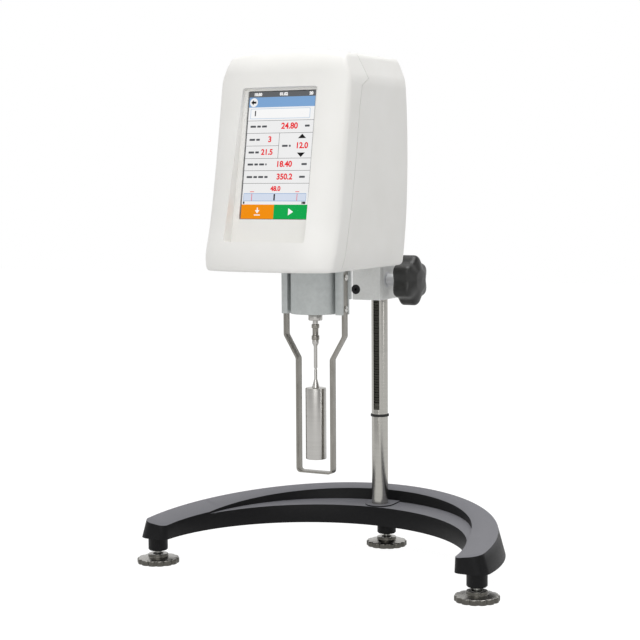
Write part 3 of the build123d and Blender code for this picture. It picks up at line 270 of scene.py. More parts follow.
# cover glass: clear, with a faint smudging that only its reflections show
coverGlass, tree = newMaterial("coverGlass")
place = addNode(tree, "ShaderNodeTexCoord")
smudge = addNode(tree, "ShaderNodeTexNoise", {"Vector": (place, "Object"), "Scale": perSize(14),
                                              "Detail": 3.0})
smudgeRough = addNode(tree, "ShaderNodeMapRange", {"Value": (smudge, "Fac"), "To Min": 0.02,
                                                   "To Max": 0.09})
clear = addNode(tree, "ShaderNodeBsdfPrincipled", {"Roughness": (smudgeRough, "Result"),
                                                   "Base Color": linearColour("#0C0D0F"),
                                                   "Specular IOR Level": 0.1, "Alpha": 0.04})
addNode(tree, "ShaderNodeOutputMaterial", {"Surface": (clear, "BSDF")})
finish["coverGlass"] = coverGlass

nodeFinish = {
    "texturedEnamel": ["base_casting"],
    "groundSteel": ["post"],
    "nylonNatural": ["tension_pad"],
    "rubberBlack": ["post_stop_ring"],
    "zincPlate": ["post_washer", "foot_stud_left", "foot_stud_right", "foot_stud_rear", "shell_screws"],
    "brightScrew": ["guard_screws"],
    "blackOxide": ["post_bolt", "tension_screw", "arm_screws", "bracket_screws"],
    "nickelPlate": ["foot_disc_left", "foot_disc_right", "foot_disc_rear"],
    "silverPaint": ["carriage_block", "arm_bracket"],
    "satinAnodised": ["knob_hub", "shaft_bush"],
    "milledAluminium": ["chassis_plate", "motor_plate", "bearing_spacer"],
    "phenolicBlack": ["lift_knob"],
    "mouldedAbsWhite": ["head_front_shell"],
    "mouldedAbsGrey": ["head_rear_shell"],
    "panelFrame": ["lcd_module"],
    "solderResist": ["main_board", "sensor_board"],
    "epoxyBlack": ["board_chips", "disc_sensors"],
    "turnedBrass": ["board_pillars", "motor_pillars", "spring_collet"],
    "switchBlack": ["power_switch", "power_rocker", "power_inlet"],
    "lacqueredMotor": ["drive_motor"],
    "turnedStainless": ["pinion_shaft", "motor_shaft", "nose_bush", "bearing_lower", "bearing_upper",
                        "spindle_shaft", "spindle"],
    "acetalBlack": ["drive_carrier", "lower_disc"],
    "temperedSteel": ["torsion_spring"],
    "blastedAluminium": ["bearing_housing"],
    "brushedStainless": ["guard_leg", "spindle_coupling"],
    "coverGlass": ["touch_glass"],
}
for finishName, nodeNames in nodeFinish.items():
    for nodeName in nodeNames:
        node = frame["nodes"][nodeName]
        node.data.materials.clear()
        node.data.materials.append(finish[finishName])
missing = set(frame["nodes"]) - {n for names in nodeFinish.values() for n in names}
print("stage: finishes,", len(finish), "made; nodes without one:", sorted(missing))


# ---------- head shells

head = {
    "halfWidth": 64.0, "top": 478.0, "bottom": 285.0, "wall": 2.6,
    "fold": (64.0, 449.7), "shoulder": (55.9, 471.7),  # x and z of the chamfer between side and top
    # height, then y of the front at the middle and at the fold, of the flat side's end,
    # of the rear corner and of the rear at the middle
    "stations": ((283.0, -101.6, -86.6, -8.0, 60.5, 67.5), (295.0, -101.2, -86.0, 4.0, 62.4, 69.4),
                 (325.0, -94.0, -77.4, 26.0, 66.1, 73.1), (370.0, -82.7, -67.6, 38.4, 68.3, 75.5),
                 (420.0, -70.1, -58.5, 47.5, 66.3, 73.5), (482.0, -54.5, -48.5, 51.0, 58.0, 65.0)),
    "centre": (0.0, -8.0, 382.0),  # where the rays start that find the skin
    "frontRound": (17.0, 456.0), "rearRound": (12.0, 465.0),  # depth, and height where it starts
    "frontPower": 3.7,  # how late the front turns back on its way from the middle to the fold
    "sideBow": 0.055, "cornerRun": 5.0,  # bow of the side towards the rear corner
    "rearBow": (3.6, 48.0),  # depth of the rear's bow at this distance from the middle
    # draw-in of the sides at the bottom, the height over which it ends, and its slope's cosine
    "lowTaper": (2.5, 12.0, 0.98),
    # edges: side with low taper, with chamfer, front with top, front with sides, rear with sides,
    # rear with top, rear's top with sides, and all round the bottom
    "edges": (1.5, 1.8, 4.0, 3.0, 6.0, 3.0, 2.5, 4.0),
    "box": ((-64.0, -101.0, 285.0), (64.0, 74.0, 478.0)),  # box round the skin that carries the grid
    "nearest": 5.0, "farthest": 190.0, "halvings": 34,  # search for the skin along a ray
    "spacing": 1.6, "innerSpacing": 6.0,
}
seam = {
    # side view of the joint between the shells, from the bottom up
    "line": ((-72.0, 280.0), (-54.3, 340.2), (-45.6, 379.0), (-37.5, 425.5), (-32.5, 444.5),
             (-19.0, 450.2), (-25.4, 469.0), (-28.5, 482.0)),
    "gap": 0.7,
}


def roundMax(a, b, radius):
    # where two faces meet, with the edge rounded to the radius
    corner = np.hypot(np.maximum(radius + a, 0), np.maximum(radius + b, 0))
    return np.minimum(-radius, np.maximum(a, b)) + corner


def topRound(face, z, depth, startZ):
    # a face that turns into the level of the top along a quarter ellipse
    rise = head["top"] - startZ
    quarter = (np.hypot(np.maximum(depth + face, 0) / depth, np.maximum(z - startZ, 0) / rise) - 1) * depth
    return np.where(z > startZ, quarter, face)


def headSkin(points):
    # roughly the distance out of the head's skin, in mm, for an array of points
    x, y, z = np.abs(points[:, 0]), points[:, 1], points[:, 2]
    heights = [s[0] for s in head["stations"]]
    middle, foldY, sideEnd, rearCorner, rearMiddle = (
        np.interp(z, heights, [s[k] for s in head["stations"]]) for k in range(1, 6))
    half = head["halfWidth"]
    (lowEdge, chamferEdge, frontTopEdge, frontSideEdge, rearSideEdge, rearTopEdge, rearCornerEdge,
     bottomEdge) = head["edges"]
    front = (middle + (foldY - middle) * np.clip(x / half, 0, 1.2) ** head["frontPower"]) - y
    bow = np.clip((y - sideEnd) / np.maximum(rearCorner - head["cornerRun"] - sideEnd, 1), 0, 1.5)
    side = x - (half - head["sideBow"] * (rearCorner - sideEnd) * bow ** 2)
    bowDepth, bowAt = head["rearBow"]
    rear = y - (rearMiddle - bowDepth * (x / bowAt) ** 2)
    drawIn, overHeight, slant = head["lowTaper"]
    lowTaper = (x - (half - drawIn + (z - head["bottom"]) * drawIn / overHeight)) * slant
    (foldX, foldZ), (shoulderX, shoulderZ) = head["fold"], head["shoulder"]
    run, rise = foldX - shoulderX, shoulderZ - foldZ
    chamfer = ((x - foldX) * rise + (z - foldZ) * run) / math.hypot(run, rise)
    crown = (shoulderX ** 2 + (head["top"] - shoulderZ) ** 2) / (2 * (head["top"] - shoulderZ))
    dome = np.hypot(x, z - head["top"] + crown) - crown
    sides = roundMax(roundMax(side, lowTaper, lowEdge), chamfer, chamferEdge)
    front = topRound(front, z, *head["frontRound"])
    rear = topRound(rear, z, *head["rearRound"])
    frontBody = roundMax(roundMax(front, dome, frontTopEdge), sides, frontSideEdge)
    rearBody = roundMax(roundMax(rear, dome, rearTopEdge), sides, rearCornerEdge)
    body = np.maximum(np.maximum(frontBody, roundMax(rear, sides, rearSideEdge)), rearBody)
    return roundMax(body, head["bottom"] - z, bottomEdge)


def smoothInterpolation():
    # the stations are joined by a smooth curve: each column is refined to close steps
    rows = np.array(head["stations"])
    heights = np.linspace(rows[0, 0], rows[-1, 0], 60)
    slopes = [np.gradient(rows[:, k], rows[:, 0]) for k in range(1, 6)]
    columns = []
    for k in range(1, 6):
        index = np.clip(np.searchsorted(rows[:, 0], heights) - 1, 0, len(rows) - 2)
        span = rows[index + 1, 0] - rows[index, 0]
        t = (heights - rows[index, 0]) / span
        start, end = rows[index, k], rows[index + 1, k]
        tangentA, tangentB = slopes[k - 1][index] * span, slopes[k - 1][index + 1] * span
        columns.append((2 * t ** 3 - 3 * t ** 2 + 1) * start + (t ** 3 - 2 * t ** 2 + t) * tangentA
                       + (-2 * t ** 3 + 3 * t ** 2) * end + (t ** 3 - t ** 2) * tangentB)
    head["stations"] = tuple(map(tuple, np.column_stack([heights] + columns)))


def skinMesh(spacing, inset):
    # the skin as a grid on the six sides of a box, each point pushed along its ray onto the skin
    low, high = (np.array(corner) for corner in head["box"])
    centre = np.array(head["centre"])
    points, faces = [], []
    for axis in range(3):
        u, v = (axis + 1) % 3, (axis + 2) % 3
        countU = int((high[u] - low[u]) / spacing) + 1
        countV = int((high[v] - low[v]) / spacing) + 1
        for level, outward in ((low[axis], False), (high[axis], True)):
            first = len(points)
            for i in range(countU + 1):
                for j in range(countV + 1):
                    point = np.empty(3)
                    point[axis] = level
                    point[u] = low[u] + (high[u] - low[u]) * i / countU
                    point[v] = low[v] + (high[v] - low[v]) * j / countV
                    points.append(point)
            for i in range(countU):
                for j in range(countV):
                    a = first + i * (countV + 1) + j
                    quad = (a, a + countV + 1, a + countV + 2, a + 1)
                    faces.append(quad if outward else quad[::-1])
    rays = np.array(points) - centre
    rays /= np.linalg.norm(rays, axis=1)[:, None]
    near, far = np.full(len(rays), head["nearest"]), np.full(len(rays), head["farthest"])
    for step in range(head["halvings"]):
        middle = (near + far) / 2
        inside = headSkin(centre + rays * middle[:, None]) < -inset
        near, far = np.where(inside, middle, near), np.where(inside, far, middle)
    skin = (centre + rays * near[:, None]) * mm
    skin[:, 1] += spindleY
    return skin, faces


def editMesh(data, change):
    # opens a mesh, changes it and writes it back
    work = bmesh.new()
    work.from_mesh(data)
    change(work)
    work.to_mesh(data)
    work.free()


def mergeDoubles(work):
    bmesh.ops.remove_doubles(work, verts=work.verts, dist=1e-6)


def meshObject(name, points, faces):
    # closed mesh with its doubled points merged
    data = bpy.data.meshes.new(name)
    data.from_pydata([tuple(p) for p in points], [], faces)
    editMesh(data, mergeDoubles)
    return addObject(name, data)


def bake(piece):
    # the evaluated piece as a plain mesh, its modifiers gone
    evaluated = piece.evaluated_get(bpy.context.evaluated_depsgraph_get())
    result = bpy.data.meshes.new_from_object(evaluated)
    piece.modifiers.clear()
    old = piece.data
    piece.data = result
    bpy.data.meshes.remove(old)


def prism(name, outline, low, high, place):
    # closed prism: a polygon in two coordinates, carried between low and high by place(a, b, height)
    count = len(outline)
    points = [place(a, b, h) for h in (low, high) for a, b in outline]
    faces = [tuple(reversed(range(count))), tuple(range(count, 2 * count))]
    faces += [(k, (k + 1) % count, (k + 1) % count + count, k + count) for k in range(count)]
    piece = meshObject(name, points, faces)
    editMesh(piece.data, lambda work: bmesh.ops.recalc_face_normals(work, faces=work.faces))
    return piece


def carve(piece, tool, operation):
    # apply one boolean and drop the tool
    modifier = piece.modifiers.new("carve", "BOOLEAN")
    modifier.object = tool
    modifier.operation = operation
    modifier.solver = "EXACT"
    bake(piece)
    bpy.data.objects.remove(tool)


def cut(piece, outline, low, high, place, operation="DIFFERENCE"):
    # cuts a prism out of the piece, or with INTERSECT keeps what lies in it
    carve(piece, prism("cutter", outline, low, high, place), operation)


def smoothShade(piece, angle):
    piece.data.shade_smooth()
    piece.data.set_sharp_from_angle(angle=math.radians(angle))


def alongZ(x, y, z):
    # a prism's outline and height in mm as a point; the name tells which way the prism runs
    return (x * mm, y * mm + spindleY, z * mm)


def alongY(x, z, y):
    return alongZ(x, y, z)


def alongX(y, z, x):
    return alongZ(x, y, z)


def circle(x, y, radius, turns):
    return [(x + radius * math.cos(2 * math.pi * k / turns), y + radius * math.sin(2 * math.pi * k / turns))
            for k in range(turns)]


def box(left, right, low, high):
    return [(left, low), (right, low), (right, high), (left, high)]


display = {
    "halfWidth": 32.75, "low": (-78.5, 330.3), "high": (-59.4, 439.9),  # y and z of the lit area's ends
    # the recess: half widths at its ends, how far it runs past the lit area, and its corners
    "recessTopHalf": 36.6, "recessLowHalf": 39.5, "above": 2.6, "below": 22.5, "corner": 2.5,
    "windowMargin": 0.6, "windowCorner": 0.8, "windowCut": (-6.0, 3.0),  # opening over the lit area
    "faceDepth": 1.36,  # how far the picture lies below the recess's floor
}
screenLength = math.dist(display["low"], display["high"])
screenLean = math.atan2(display["high"][0] - display["low"][0], display["high"][1] - display["low"][1])


def screenPoint(across, along, out):
    # point on the leaning floor of the recess: mm across, along from the lit area's low end, and out of it
    y = display["low"][0] + along * math.sin(screenLean) - out * math.cos(screenLean)
    z = display["low"][1] + along * math.cos(screenLean) + out * math.sin(screenLean)
    return alongZ(across, y, z)


def roundedCorner(before, here, after, radius, steps):
    # points of the arc that takes a corner's place
    here = Vector(here)
    toBefore, toAfter = (Vector(before) - here).normalized(), (Vector(after) - here).normalized()
    half = toBefore.angle(toAfter) / 2
    middle = here + (toBefore + toAfter).normalized() * radius / math.sin(half)
    start = here + toBefore * radius / math.tan(half) - middle
    end = here + toAfter * radius / math.tan(half) - middle
    return [tuple(middle + start.slerp(end, step / steps).normalized() * radius)
            for step in range(steps + 1)]


def roundedOutline(corners, radius, steps):
    # polygon with each corner rounded; corners run anticlockwise
    outline = []
    for before, here, after in zip(corners[-1:] + corners[:-1], corners, corners[1:] + corners[:1]):
        outline += roundedCorner(before, here, after, radius, steps)
    return outline


rear = {
    "collarRadius": 33.3, "collarCut": 4.0,  # opening round the bearing housing, and its depth
    "tongue": (13.3, 292.2, 307.2), "tongueFrom": 30.0,  # half width and heights of the arm's opening
    "panel": (46.0, 322.0, 356.0), "panelY": 68.0, "panelCorner": 2.0,  # flat for the inlet and the switch
    # middle and half sizes of the switch's hole, middle and radius of the inlet's, and where both start
    "switch": (24.0, 6.55, 9.65), "inlet": (-24.0, 5.55), "holesFrom": 50.0,
}
clearOf = {"front": -140.0, "rear": 120.0, "side": 90.0, "below": 280.0, "out": 60.0}  # where cutters end
shellScrew = {"x": 40, "frontY": (-77,), "rearY": (-44, 49), "headRadius": 3.12, "depth": 1.7}


panelMiddle = (rear["panel"][1] + rear["panel"][2]) / 2
tongueHalf, tongueLow, tongueHigh = rear["tongue"]
panelHalf, panelLow, panelHigh = rear["panel"]
switchX, switchHalf, switchUp = rear["switch"]
inletX, inletRadius = rear["inlet"]
rearOpenings = (
    # outline, where the cut starts and ends, and which way it runs
    (circle(0, 0, rear["collarRadius"], 96), clearOf["below"], head["bottom"] + rear["collarCut"], alongZ),
    (box(-tongueHalf, tongueHalf, tongueLow, tongueHigh), rear["tongueFrom"], clearOf["rear"], alongY),
    (roundedOutline(box(-panelHalf, panelHalf, panelLow, panelHigh), rear["panelCorner"], 5),
     rear["panelY"], clearOf["rear"], alongY),
    (box(switchX - switchHalf, switchX + switchHalf, panelMiddle - switchUp, panelMiddle + switchUp),
     rear["holesFrom"], clearOf["rear"], alongY),
    (circle(inletX, panelMiddle, inletRadius, 48), rear["holesFrom"], clearOf["rear"], alongY),
)
smoothInterpolation()
outerSkin, outerFaces = skinMesh(head["spacing"], 0.0)
innerSkin, innerFaces = skinMesh(head["innerSpacing"], head["wall"])
top, low = screenLength + display["above"], -display["below"]


def recessOutline(grow):
    # the display's tapered recess, or its walls' outer line when it grows
    lowHalf, topHalf = display["recessLowHalf"] + grow, display["recessTopHalf"] + grow
    return roundedOutline([(-lowHalf, low - grow), (lowHalf, low - grow), (topHalf, top + grow),
                           (-topHalf, top + grow)], display["corner"] + grow, 5)


wall = head["wall"]
margin = display["windowMargin"]
windowHalf = display["halfWidth"] + margin
window = roundedOutline(box(-windowHalf, windowHalf, -margin, screenLength + margin),
                        display["windowCorner"], 3)
shells = (("headFront", "head_front_shell", True), ("headRear", "head_rear_shell", False))
for name, nodeName, frontSide in shells:
    shell = meshObject(name, outerSkin, outerFaces)
    cavity = meshObject("cavity", innerSkin, innerFaces)
    cut(cavity, recessOutline(wall), -wall, clearOf["out"], screenPoint)
    cut(cavity, box(-panelHalf - wall, panelHalf + wall, panelLow - wall, panelHigh + wall),
        rear["panelY"] - wall, clearOf["rear"], alongY)
    carve(shell, cavity, "DIFFERENCE")
    shift = -seam["gap"] / 2 if frontSide else seam["gap"] / 2
    line = [(y + shift, z) for y, z in seam["line"]]
    endY = clearOf["front" if frontSide else "rear"]
    line = [(endY, line[0][1])] + line + [(endY, line[-1][1])]
    cut(shell, line, -clearOf["side"], clearOf["side"], alongX, "INTERSECT")
    if frontSide:
        cut(shell, recessOutline(0.0), 0.0, clearOf["out"], screenPoint)
        cut(shell, window, *display["windowCut"], screenPoint)
    else:
        for opening in rearOpenings:
            cut(shell, *opening)
    for screwY in shellScrew["frontY" if frontSide else "rearY"]:
        for screwX in (-shellScrew["x"], shellScrew["x"]):
            cut(shell, circle(screwX, screwY, shellScrew["headRadius"], 32), clearOf["below"],
                head["bottom"] + shellScrew["depth"], alongZ)
    smoothShade(shell, 32)
    shell.data.materials.clear()
    shell.data.materials.append(finish["mouldedAbsWhite" if frontSide else "mouldedAbsGrey"])
    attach(shell, "carriage")
    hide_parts(nodeName)
    print("stage:", name, len(shell.data.polygons), "faces")


# ---------- picture on the display

screen = {
    "inks": {"page": "#FAFAFA", "white": "#FFFFFF", "strip": "#67696C", "sky": "#84AEDD", "line": "#6E6E70",
             "black": "#141414", "red": "#F01420", "pale": "#DAE3F3", "amber": "#FE9600", "leaf": "#06AE50",
             "grey": "#56585C", "ring": "#CFE0F2"},
    "glow": 0.97,
    "layerMm": 0.004, "thickenMm": 0.24, "sizePerHeight": 1.35,  # ink layers, bolder strokes, type size
    # numerals: text, share across, share down, height in mm, ink
    "numerals": (("24.80", 0.64, 0.274, 5.4, "red"), ("12.0", 0.845, 0.429, 5.2, "red"),
                 ("3", 0.36, 0.378, 5.2, "red"),
                 ("21.5", 0.33, 0.478, 5.0, "red"), ("18.40", 0.60, 0.573, 5.2, "red"),
                 ("350.2", 0.62, 0.672, 5.2, "red"), ("48.0", 0.50, 0.765, 4.2, "red"),
                 ("1", 0.11, 0.172, 4.6, "black"), ("10:30", 0.13, 0.021, 2.6, "white"),
                 ("01.02", 0.52, 0.021, 2.6, "white"), ("20", 0.93, 0.021, 2.6, "white"),
                 ("0", 0.035, 0.875, 1.9, "black"), ("100", 0.93, 0.875, 1.9, "black")),
    # stand-ins for captions: rows of short bars, share across from and to, share down
    "bars": ((0.05, 0.30, 0.274), (0.05, 0.24, 0.378), (0.05, 0.21, 0.478), (0.55, 0.68, 0.429),
             (0.05, 0.34, 0.573), (0.05, 0.38, 0.672), (0.87, 0.94, 0.274), (0.86, 0.94, 0.573),
             (0.84, 0.95, 0.672)),
    # lengths of a row's bars in turn, the least that is drawn, the gap after one, and half its height
    "barLengths": (0.085, 0.055, 0.075, 0.05, 0.09), "barLeast": 0.02, "barGap": 0.018, "barHalf": 0.008,
}


def litInk(name, hexColour):
    # lit display ink: the back light is a few percent uneven over the panel
    ink, tree = newMaterial("lit" + name.capitalize())
    place = addNode(tree, "ShaderNodeTexCoord")
    cloud = addNode(tree, "ShaderNodeTexNoise", {"Vector": (place, "Object"), "Scale": perSize(45),
                                                 "Detail": 1.0})
    level = addNode(tree, "ShaderNodeMapRange", {"Value": (cloud, "Fac"), "To Min": 0.95, "To Max": 1.03})
    colour = mixed(tree, (level, "Result"), (0, 0, 0, 1), linearColour(hexColour))
    shader = addNode(tree, "ShaderNodeBsdfPrincipled", {"Base Color": linearColour("#050505"),
                                                        "Roughness": 0.4, "Specular IOR Level": 0.15,
                                                        "Emission Color": colour,
                                                        "Emission Strength": screen["glow"]})
    addNode(tree, "ShaderNodeOutputMaterial", {"Surface": (shader, "BSDF")})
    return ink


def screenAt(share, down, layer):
    # share across and share down the lit area; layers lie a few microns apart
    across = (2 * share - 1) * display["halfWidth"]
    return screenPoint(across, screenLength * (1 - down), -display["faceDepth"] + screen["layerMm"] * layer)


inkNames = list(screen["inks"])
pictureData = bpy.data.meshes.new("screenPicture")
picture = addObject("screenPicture", pictureData)
for inkName in inkNames:
    pictureData.materials.append(litInk(inkName, screen["inks"][inkName]))
drawing = bmesh.new()
wide = 2 * display["halfWidth"]


def addShape(corners, ink, layer):
    # flat polygon, its corners anticlockwise as the operator sees them
    face = drawing.faces.new([drawing.verts.new(screenAt(a, b, layer)) for a, b in corners])
    face.material_index = inkNames.index(ink)


def addRect(left, right, top, bottom, ink, layer):
    addShape([(left, bottom), (right, bottom), (right, top), (left, top)], ink, layer)


def addRound(left, right, top, bottom, radius, ink, layer):
    # rectangle with rounded corners; radius in mm
    corners = [(left * wide, -bottom * screenLength), (right * wide, -bottom * screenLength),
               (right * wide, -top * screenLength), (left * wide, -top * screenLength)]
    addShape([(a / wide, -b / screenLength) for a, b in roundedOutline(corners, radius, 5)], ink, layer)


def addDisc(share, down, radius, ink, layer):
    addShape([(share + a / wide, down - b / screenLength) for a, b in circle(0, 0, radius, 28)], ink, layer)


addRect(0, 1, 0, 1, "page", 0)
addRect(0, 1, 0, 0.042, "strip", 1)
addRect(0, 1, 0.042, 0.122, "sky", 1)
addRect(0, 1, 0.122, 0.228, "white", 1)
addRound(0.035, 0.935, 0.132, 0.214, 1.0, "ring", 2)
addRound(0.045, 0.925, 0.137, 0.209, 0.8, "white", 3)
addDisc(0.075, 0.083, 3.9, "white", 2)
addShape([(0.033, 0.083), (0.073, 0.104), (0.073, 0.091), (0.112, 0.091), (0.112, 0.075), (0.073, 0.075),
          (0.073, 0.062)], "black", 3)
for down, end in ((0.228, 1.0), (0.327, 1.0), (0.427, 0.5), (0.526, 1.0), (0.622, 1.0), (0.722, 1.0)):
    addRect(0, end, down - 0.0016, down + 0.0016, "line", 2)
addRect(0.497, 0.503, 0.327, 0.526, "line", 2)
for left, right in ((0, 0.006), (0.994, 1)):
    addRect(left, right, 0, 1, "grey", 6)
addShape([(0.78, 0.371), (0.90, 0.371), (0.84, 0.336)], "black", 3)
addShape([(0.78, 0.483), (0.84, 0.518), (0.90, 0.483)], "black", 3)
addRect(0.025, 0.965, 0.800, 0.862, "sky", 2)
addRect(0.030, 0.960, 0.804, 0.858, "pale", 3)
for tick in (0.15, 0.83):
    addRect(tick - 0.004, tick + 0.004, 0.804, 0.858, "red", 4)
    addRect(tick - 0.03, tick + 0.03, 0.785, 0.790, "red", 4)
addRect(0.48, 0.502, 0.806, 0.856, "black", 4)
addRect(0, 0.497, 0.888, 1, "amber", 2)
addRect(0.497, 1, 0.888, 1, "leaf", 2)
# plain signs on the two buttons: a tray with an arrow into it, and a triangle
addRect(0.205, 0.295, 0.966, 0.974, "white", 3)
addShape([(0.215, 0.932), (0.25, 0.958), (0.285, 0.932)], "white", 3)
addRect(0.242, 0.258, 0.912, 0.934, "white", 3)
addShape([(0.715, 0.972), (0.79, 0.944), (0.715, 0.916)], "white", 3)
for left, right, down in screen["bars"]:
    # a caption's place: bars as long as short words, with gaps
    reach = left
    for length in screen["barLengths"]:
        end = min(reach + length, right)
        if end - reach > screen["barLeast"]:
            addRound(reach, end, down - screen["barHalf"], down + screen["barHalf"], 0.5, "grey", 3)
        reach = end + screen["barGap"]
drawing.to_mesh(pictureData)
drawing.free()

for text, share, down, height, ink in screen["numerals"]:
    curve = bpy.data.curves.new("numerals", "FONT")
    curve.body = text
    curve.align_x, curve.align_y = "CENTER", "CENTER"
    curve.size = height * mm * screen["sizePerHeight"]
    curve.offset = screen["thickenMm"] * mm
    writing = addObject("numerals", curve)
    letters = bpy.data.meshes.new_from_object(writing.evaluated_get(bpy.context.evaluated_depsgraph_get()))
    bpy.data.objects.remove(writing)
    origin = Vector(screenAt(share, down, 5))
    across = Vector((1, 0, 0))
    alongUp = Vector((0, math.sin(screenLean), math.cos(screenLean)))
    outward = across.cross(alongUp)
    place = Matrix((across, alongUp, outward)).transposed().to_4x4()
    letters.transform(Matrix.Translation(origin) @ place)
    joined = bmesh.new()
    joined.from_mesh(pictureData)
    firstNew = len(joined.faces)
    joined.from_mesh(letters)
    joined.faces.ensure_lookup_table()
    for face in joined.faces[firstNew:]:
        face.material_index = inkNames.index(ink)
    joined.to_mesh(pictureData)
    joined.free()
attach(picture, "carriage")
print("stage: display picture,", len(pictureData.polygons), "faces")


# ---------- pieces cut from the solids, with broken edges

finishOf = {nodeName: finishName for finishName, nodeNames in nodeFinish.items() for nodeName in nodeNames}


def dress(piece, nodeName):
    # the piece stands in for a node: same body and finish
    if not piece.data.materials:
        piece.data.materials.append(finish[finishOf[nodeName]])
    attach(piece, frame["nodes"][nodeName]["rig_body"])
    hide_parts(nodeName)


def rejoinFlats(work):
    bmesh.ops.dissolve_limit(work, angle_limit=math.radians(0.5), verts=work.verts, edges=work.edges)


def softCopy(nodeName, edgeMm):
    # merged copy of a solid, flat faces rejoined and its sharp edges broken by a small round
    data = frame["nodes"][nodeName].data.copy()
    editMesh(data, mergeDoubles)
    editMesh(data, rejoinFlats)
    piece = addObject(nodeName + "Soft", data)
    edges = piece.modifiers.new("edges", "BEVEL")
    edges.width = edgeMm * mm
    edges.segments = 2
    edges.limit_method = "ANGLE"
    edges.angle_limit = math.radians(40)
    bake(piece)
    smoothShade(piece, 38)
    dress(piece, nodeName)


edgeRounds = {
    "base_casting": 1.1, "post": 0.12, "post_stop_ring": 0.3, "carriage_block": 0.35, "arm_bracket": 0.35,
    "knob_hub": 0.3, "bearing_housing": 0.4, "nose_bush": 0.2, "guard_leg": 0.22, "spindle": 0.25,
    "spindle_coupling": 0.15, "power_switch": 0.3, "power_rocker": 0.4, "power_inlet": 0.3,
    "foot_stud_left": 0.2, "foot_stud_right": 0.2, "foot_stud_rear": 0.2,
}
for nodeName, edgeMm in edgeRounds.items():
    softCopy(nodeName, edgeMm)
print("stage:", len(edgeRounds), "pieces with broken edges")


# ---------- lobed turnings: the lift knob and the foot discs

def turnedMesh(name, profile, turns):
    # closed body of revolution about Z from (radius, height) points in mm, first and last on the axis
    points = [(0, 0, profile[0][1] * mm)]
    for radius, height in profile[1:-1]:
        for k in range(turns):
            angle = 2 * math.pi * k / turns
            points.append((radius * math.cos(angle) * mm, radius * math.sin(angle) * mm, height * mm))
    points.append((0, 0, profile[-1][1] * mm))
    last, rings = len(points) - 1, len(profile) - 2
    faces = []
    for k in range(turns):
        after = (k + 1) % turns
        faces.append((0, 1 + after, 1 + k))
        faces.append((1 + (rings - 1) * turns + k, 1 + (rings - 1) * turns + after, last))
        for ring in range(rings - 1):
            low = 1 + ring * turns
            faces.append((low + k, low + after, low + turns + after, low + turns + k))
    return meshObject(name, points, faces)


def roundedProfile(corners, radii):
    # open profile with each inner corner rounded, its long straights divided
    points = [corners[0]]
    for before, here, after, radius in zip(corners, corners[1:], corners[2:], radii):
        points += roundedCorner(before, here, after, radius, 6)
    points.append(corners[-1])
    dense = [points[0]]
    for (r0, z0), (r1, z1) in zip(points, points[1:]):
        count = max(1, int(math.dist((r0, z0), (r1, z1)) / 1.2))
        dense += [(r0 + (r1 - r0) * k / count, z0 + (z1 - z0) * k / count) for k in range(1, count + 1)]
    return dense


def lobeTree(name, finishName):
    # Geometry Nodes: draws a turned body in towards its axis between equal lobes
    tree = bpy.data.node_groups.new(name, "GeometryNodeTree")
    face = tree.interface
    face.new_socket(name="Geometry", in_out="INPUT", socket_type="NodeSocketGeometry")
    for label in ("Lobes", "Depth", "Radius", "Hub Radius", "Narrowness"):
        face.new_socket(name=label, in_out="INPUT", socket_type="NodeSocketFloat")
    face.new_socket(name="Geometry", in_out="OUTPUT", socket_type="NodeSocketGeometry")
    given = addNode(tree, "NodeGroupInput")
    here = addNode(tree, "GeometryNodeInputPosition")
    parts = addNode(tree, "ShaderNodeSeparateXYZ", {0: (here, 0)})
    angle = calc(tree, "ARCTAN2", (parts, 1), (parts, 0))
    wave = calc(tree, "COSINE", calc(tree, "MULTIPLY", angle, (given, "Lobes")))
    valley = addNode(tree, "ShaderNodeMapRange", {0: wave, 1: 1.0, 2: -1.0, 3: 0.0, 4: 1.0})
    shaped = calc(tree, "POWER", (valley, 0), (given, "Narrowness"))
    flat = addNode(tree, "ShaderNodeVectorMath", {0: (here, 0), 1: (1, 1, 0)}, operation="MULTIPLY")
    radius = addNode(tree, "ShaderNodeVectorMath", {0: (flat, 0)}, operation="LENGTH")
    reach = addNode(tree, "ShaderNodeMapRange", {0: (radius, 1), 1: (given, "Hub Radius"),
                                                 2: (given, "Radius"), 3: 0.0, 4: 1.0},
                    interpolation_type="SMOOTHSTEP")
    depth = calc(tree, "MULTIPLY", calc(tree, "MULTIPLY", shaped, (reach, 0)), (given, "Depth"))
    inward = addNode(tree, "ShaderNodeVectorMath", {0: (flat, 0)}, operation="NORMALIZE")
    back = calc(tree, "MULTIPLY", depth, -1.0)
    shift = addNode(tree, "ShaderNodeVectorMath", {0: (inward, 0), 3: back}, operation="SCALE")
    moved = addNode(tree, "GeometryNodeSetPosition", {"Geometry": (given, "Geometry"), "Offset": (shift, 0)})
    real = addNode(tree, "GeometryNodeRealizeInstances", {0: (moved, 0)})
    painted = addNode(tree, "GeometryNodeSetMaterial", {"Geometry": (real, 0),
                                                        "Material": finish[finishName]})
    addNode(tree, "NodeGroupOutput", {0: (painted, 0)})
    return tree


def runTree(piece, tree, values):
    # gives the tree its named sizes and turns the result into a plain mesh
    modifier = piece.modifiers.new(tree.name, "NODES")
    modifier.node_group = tree
    sockets = {item.name: item.identifier for item in tree.interface.items_tree if item.in_out == "INPUT"}
    for label, value in values.items():
        modifier[sockets[label]] = value
    bake(piece)


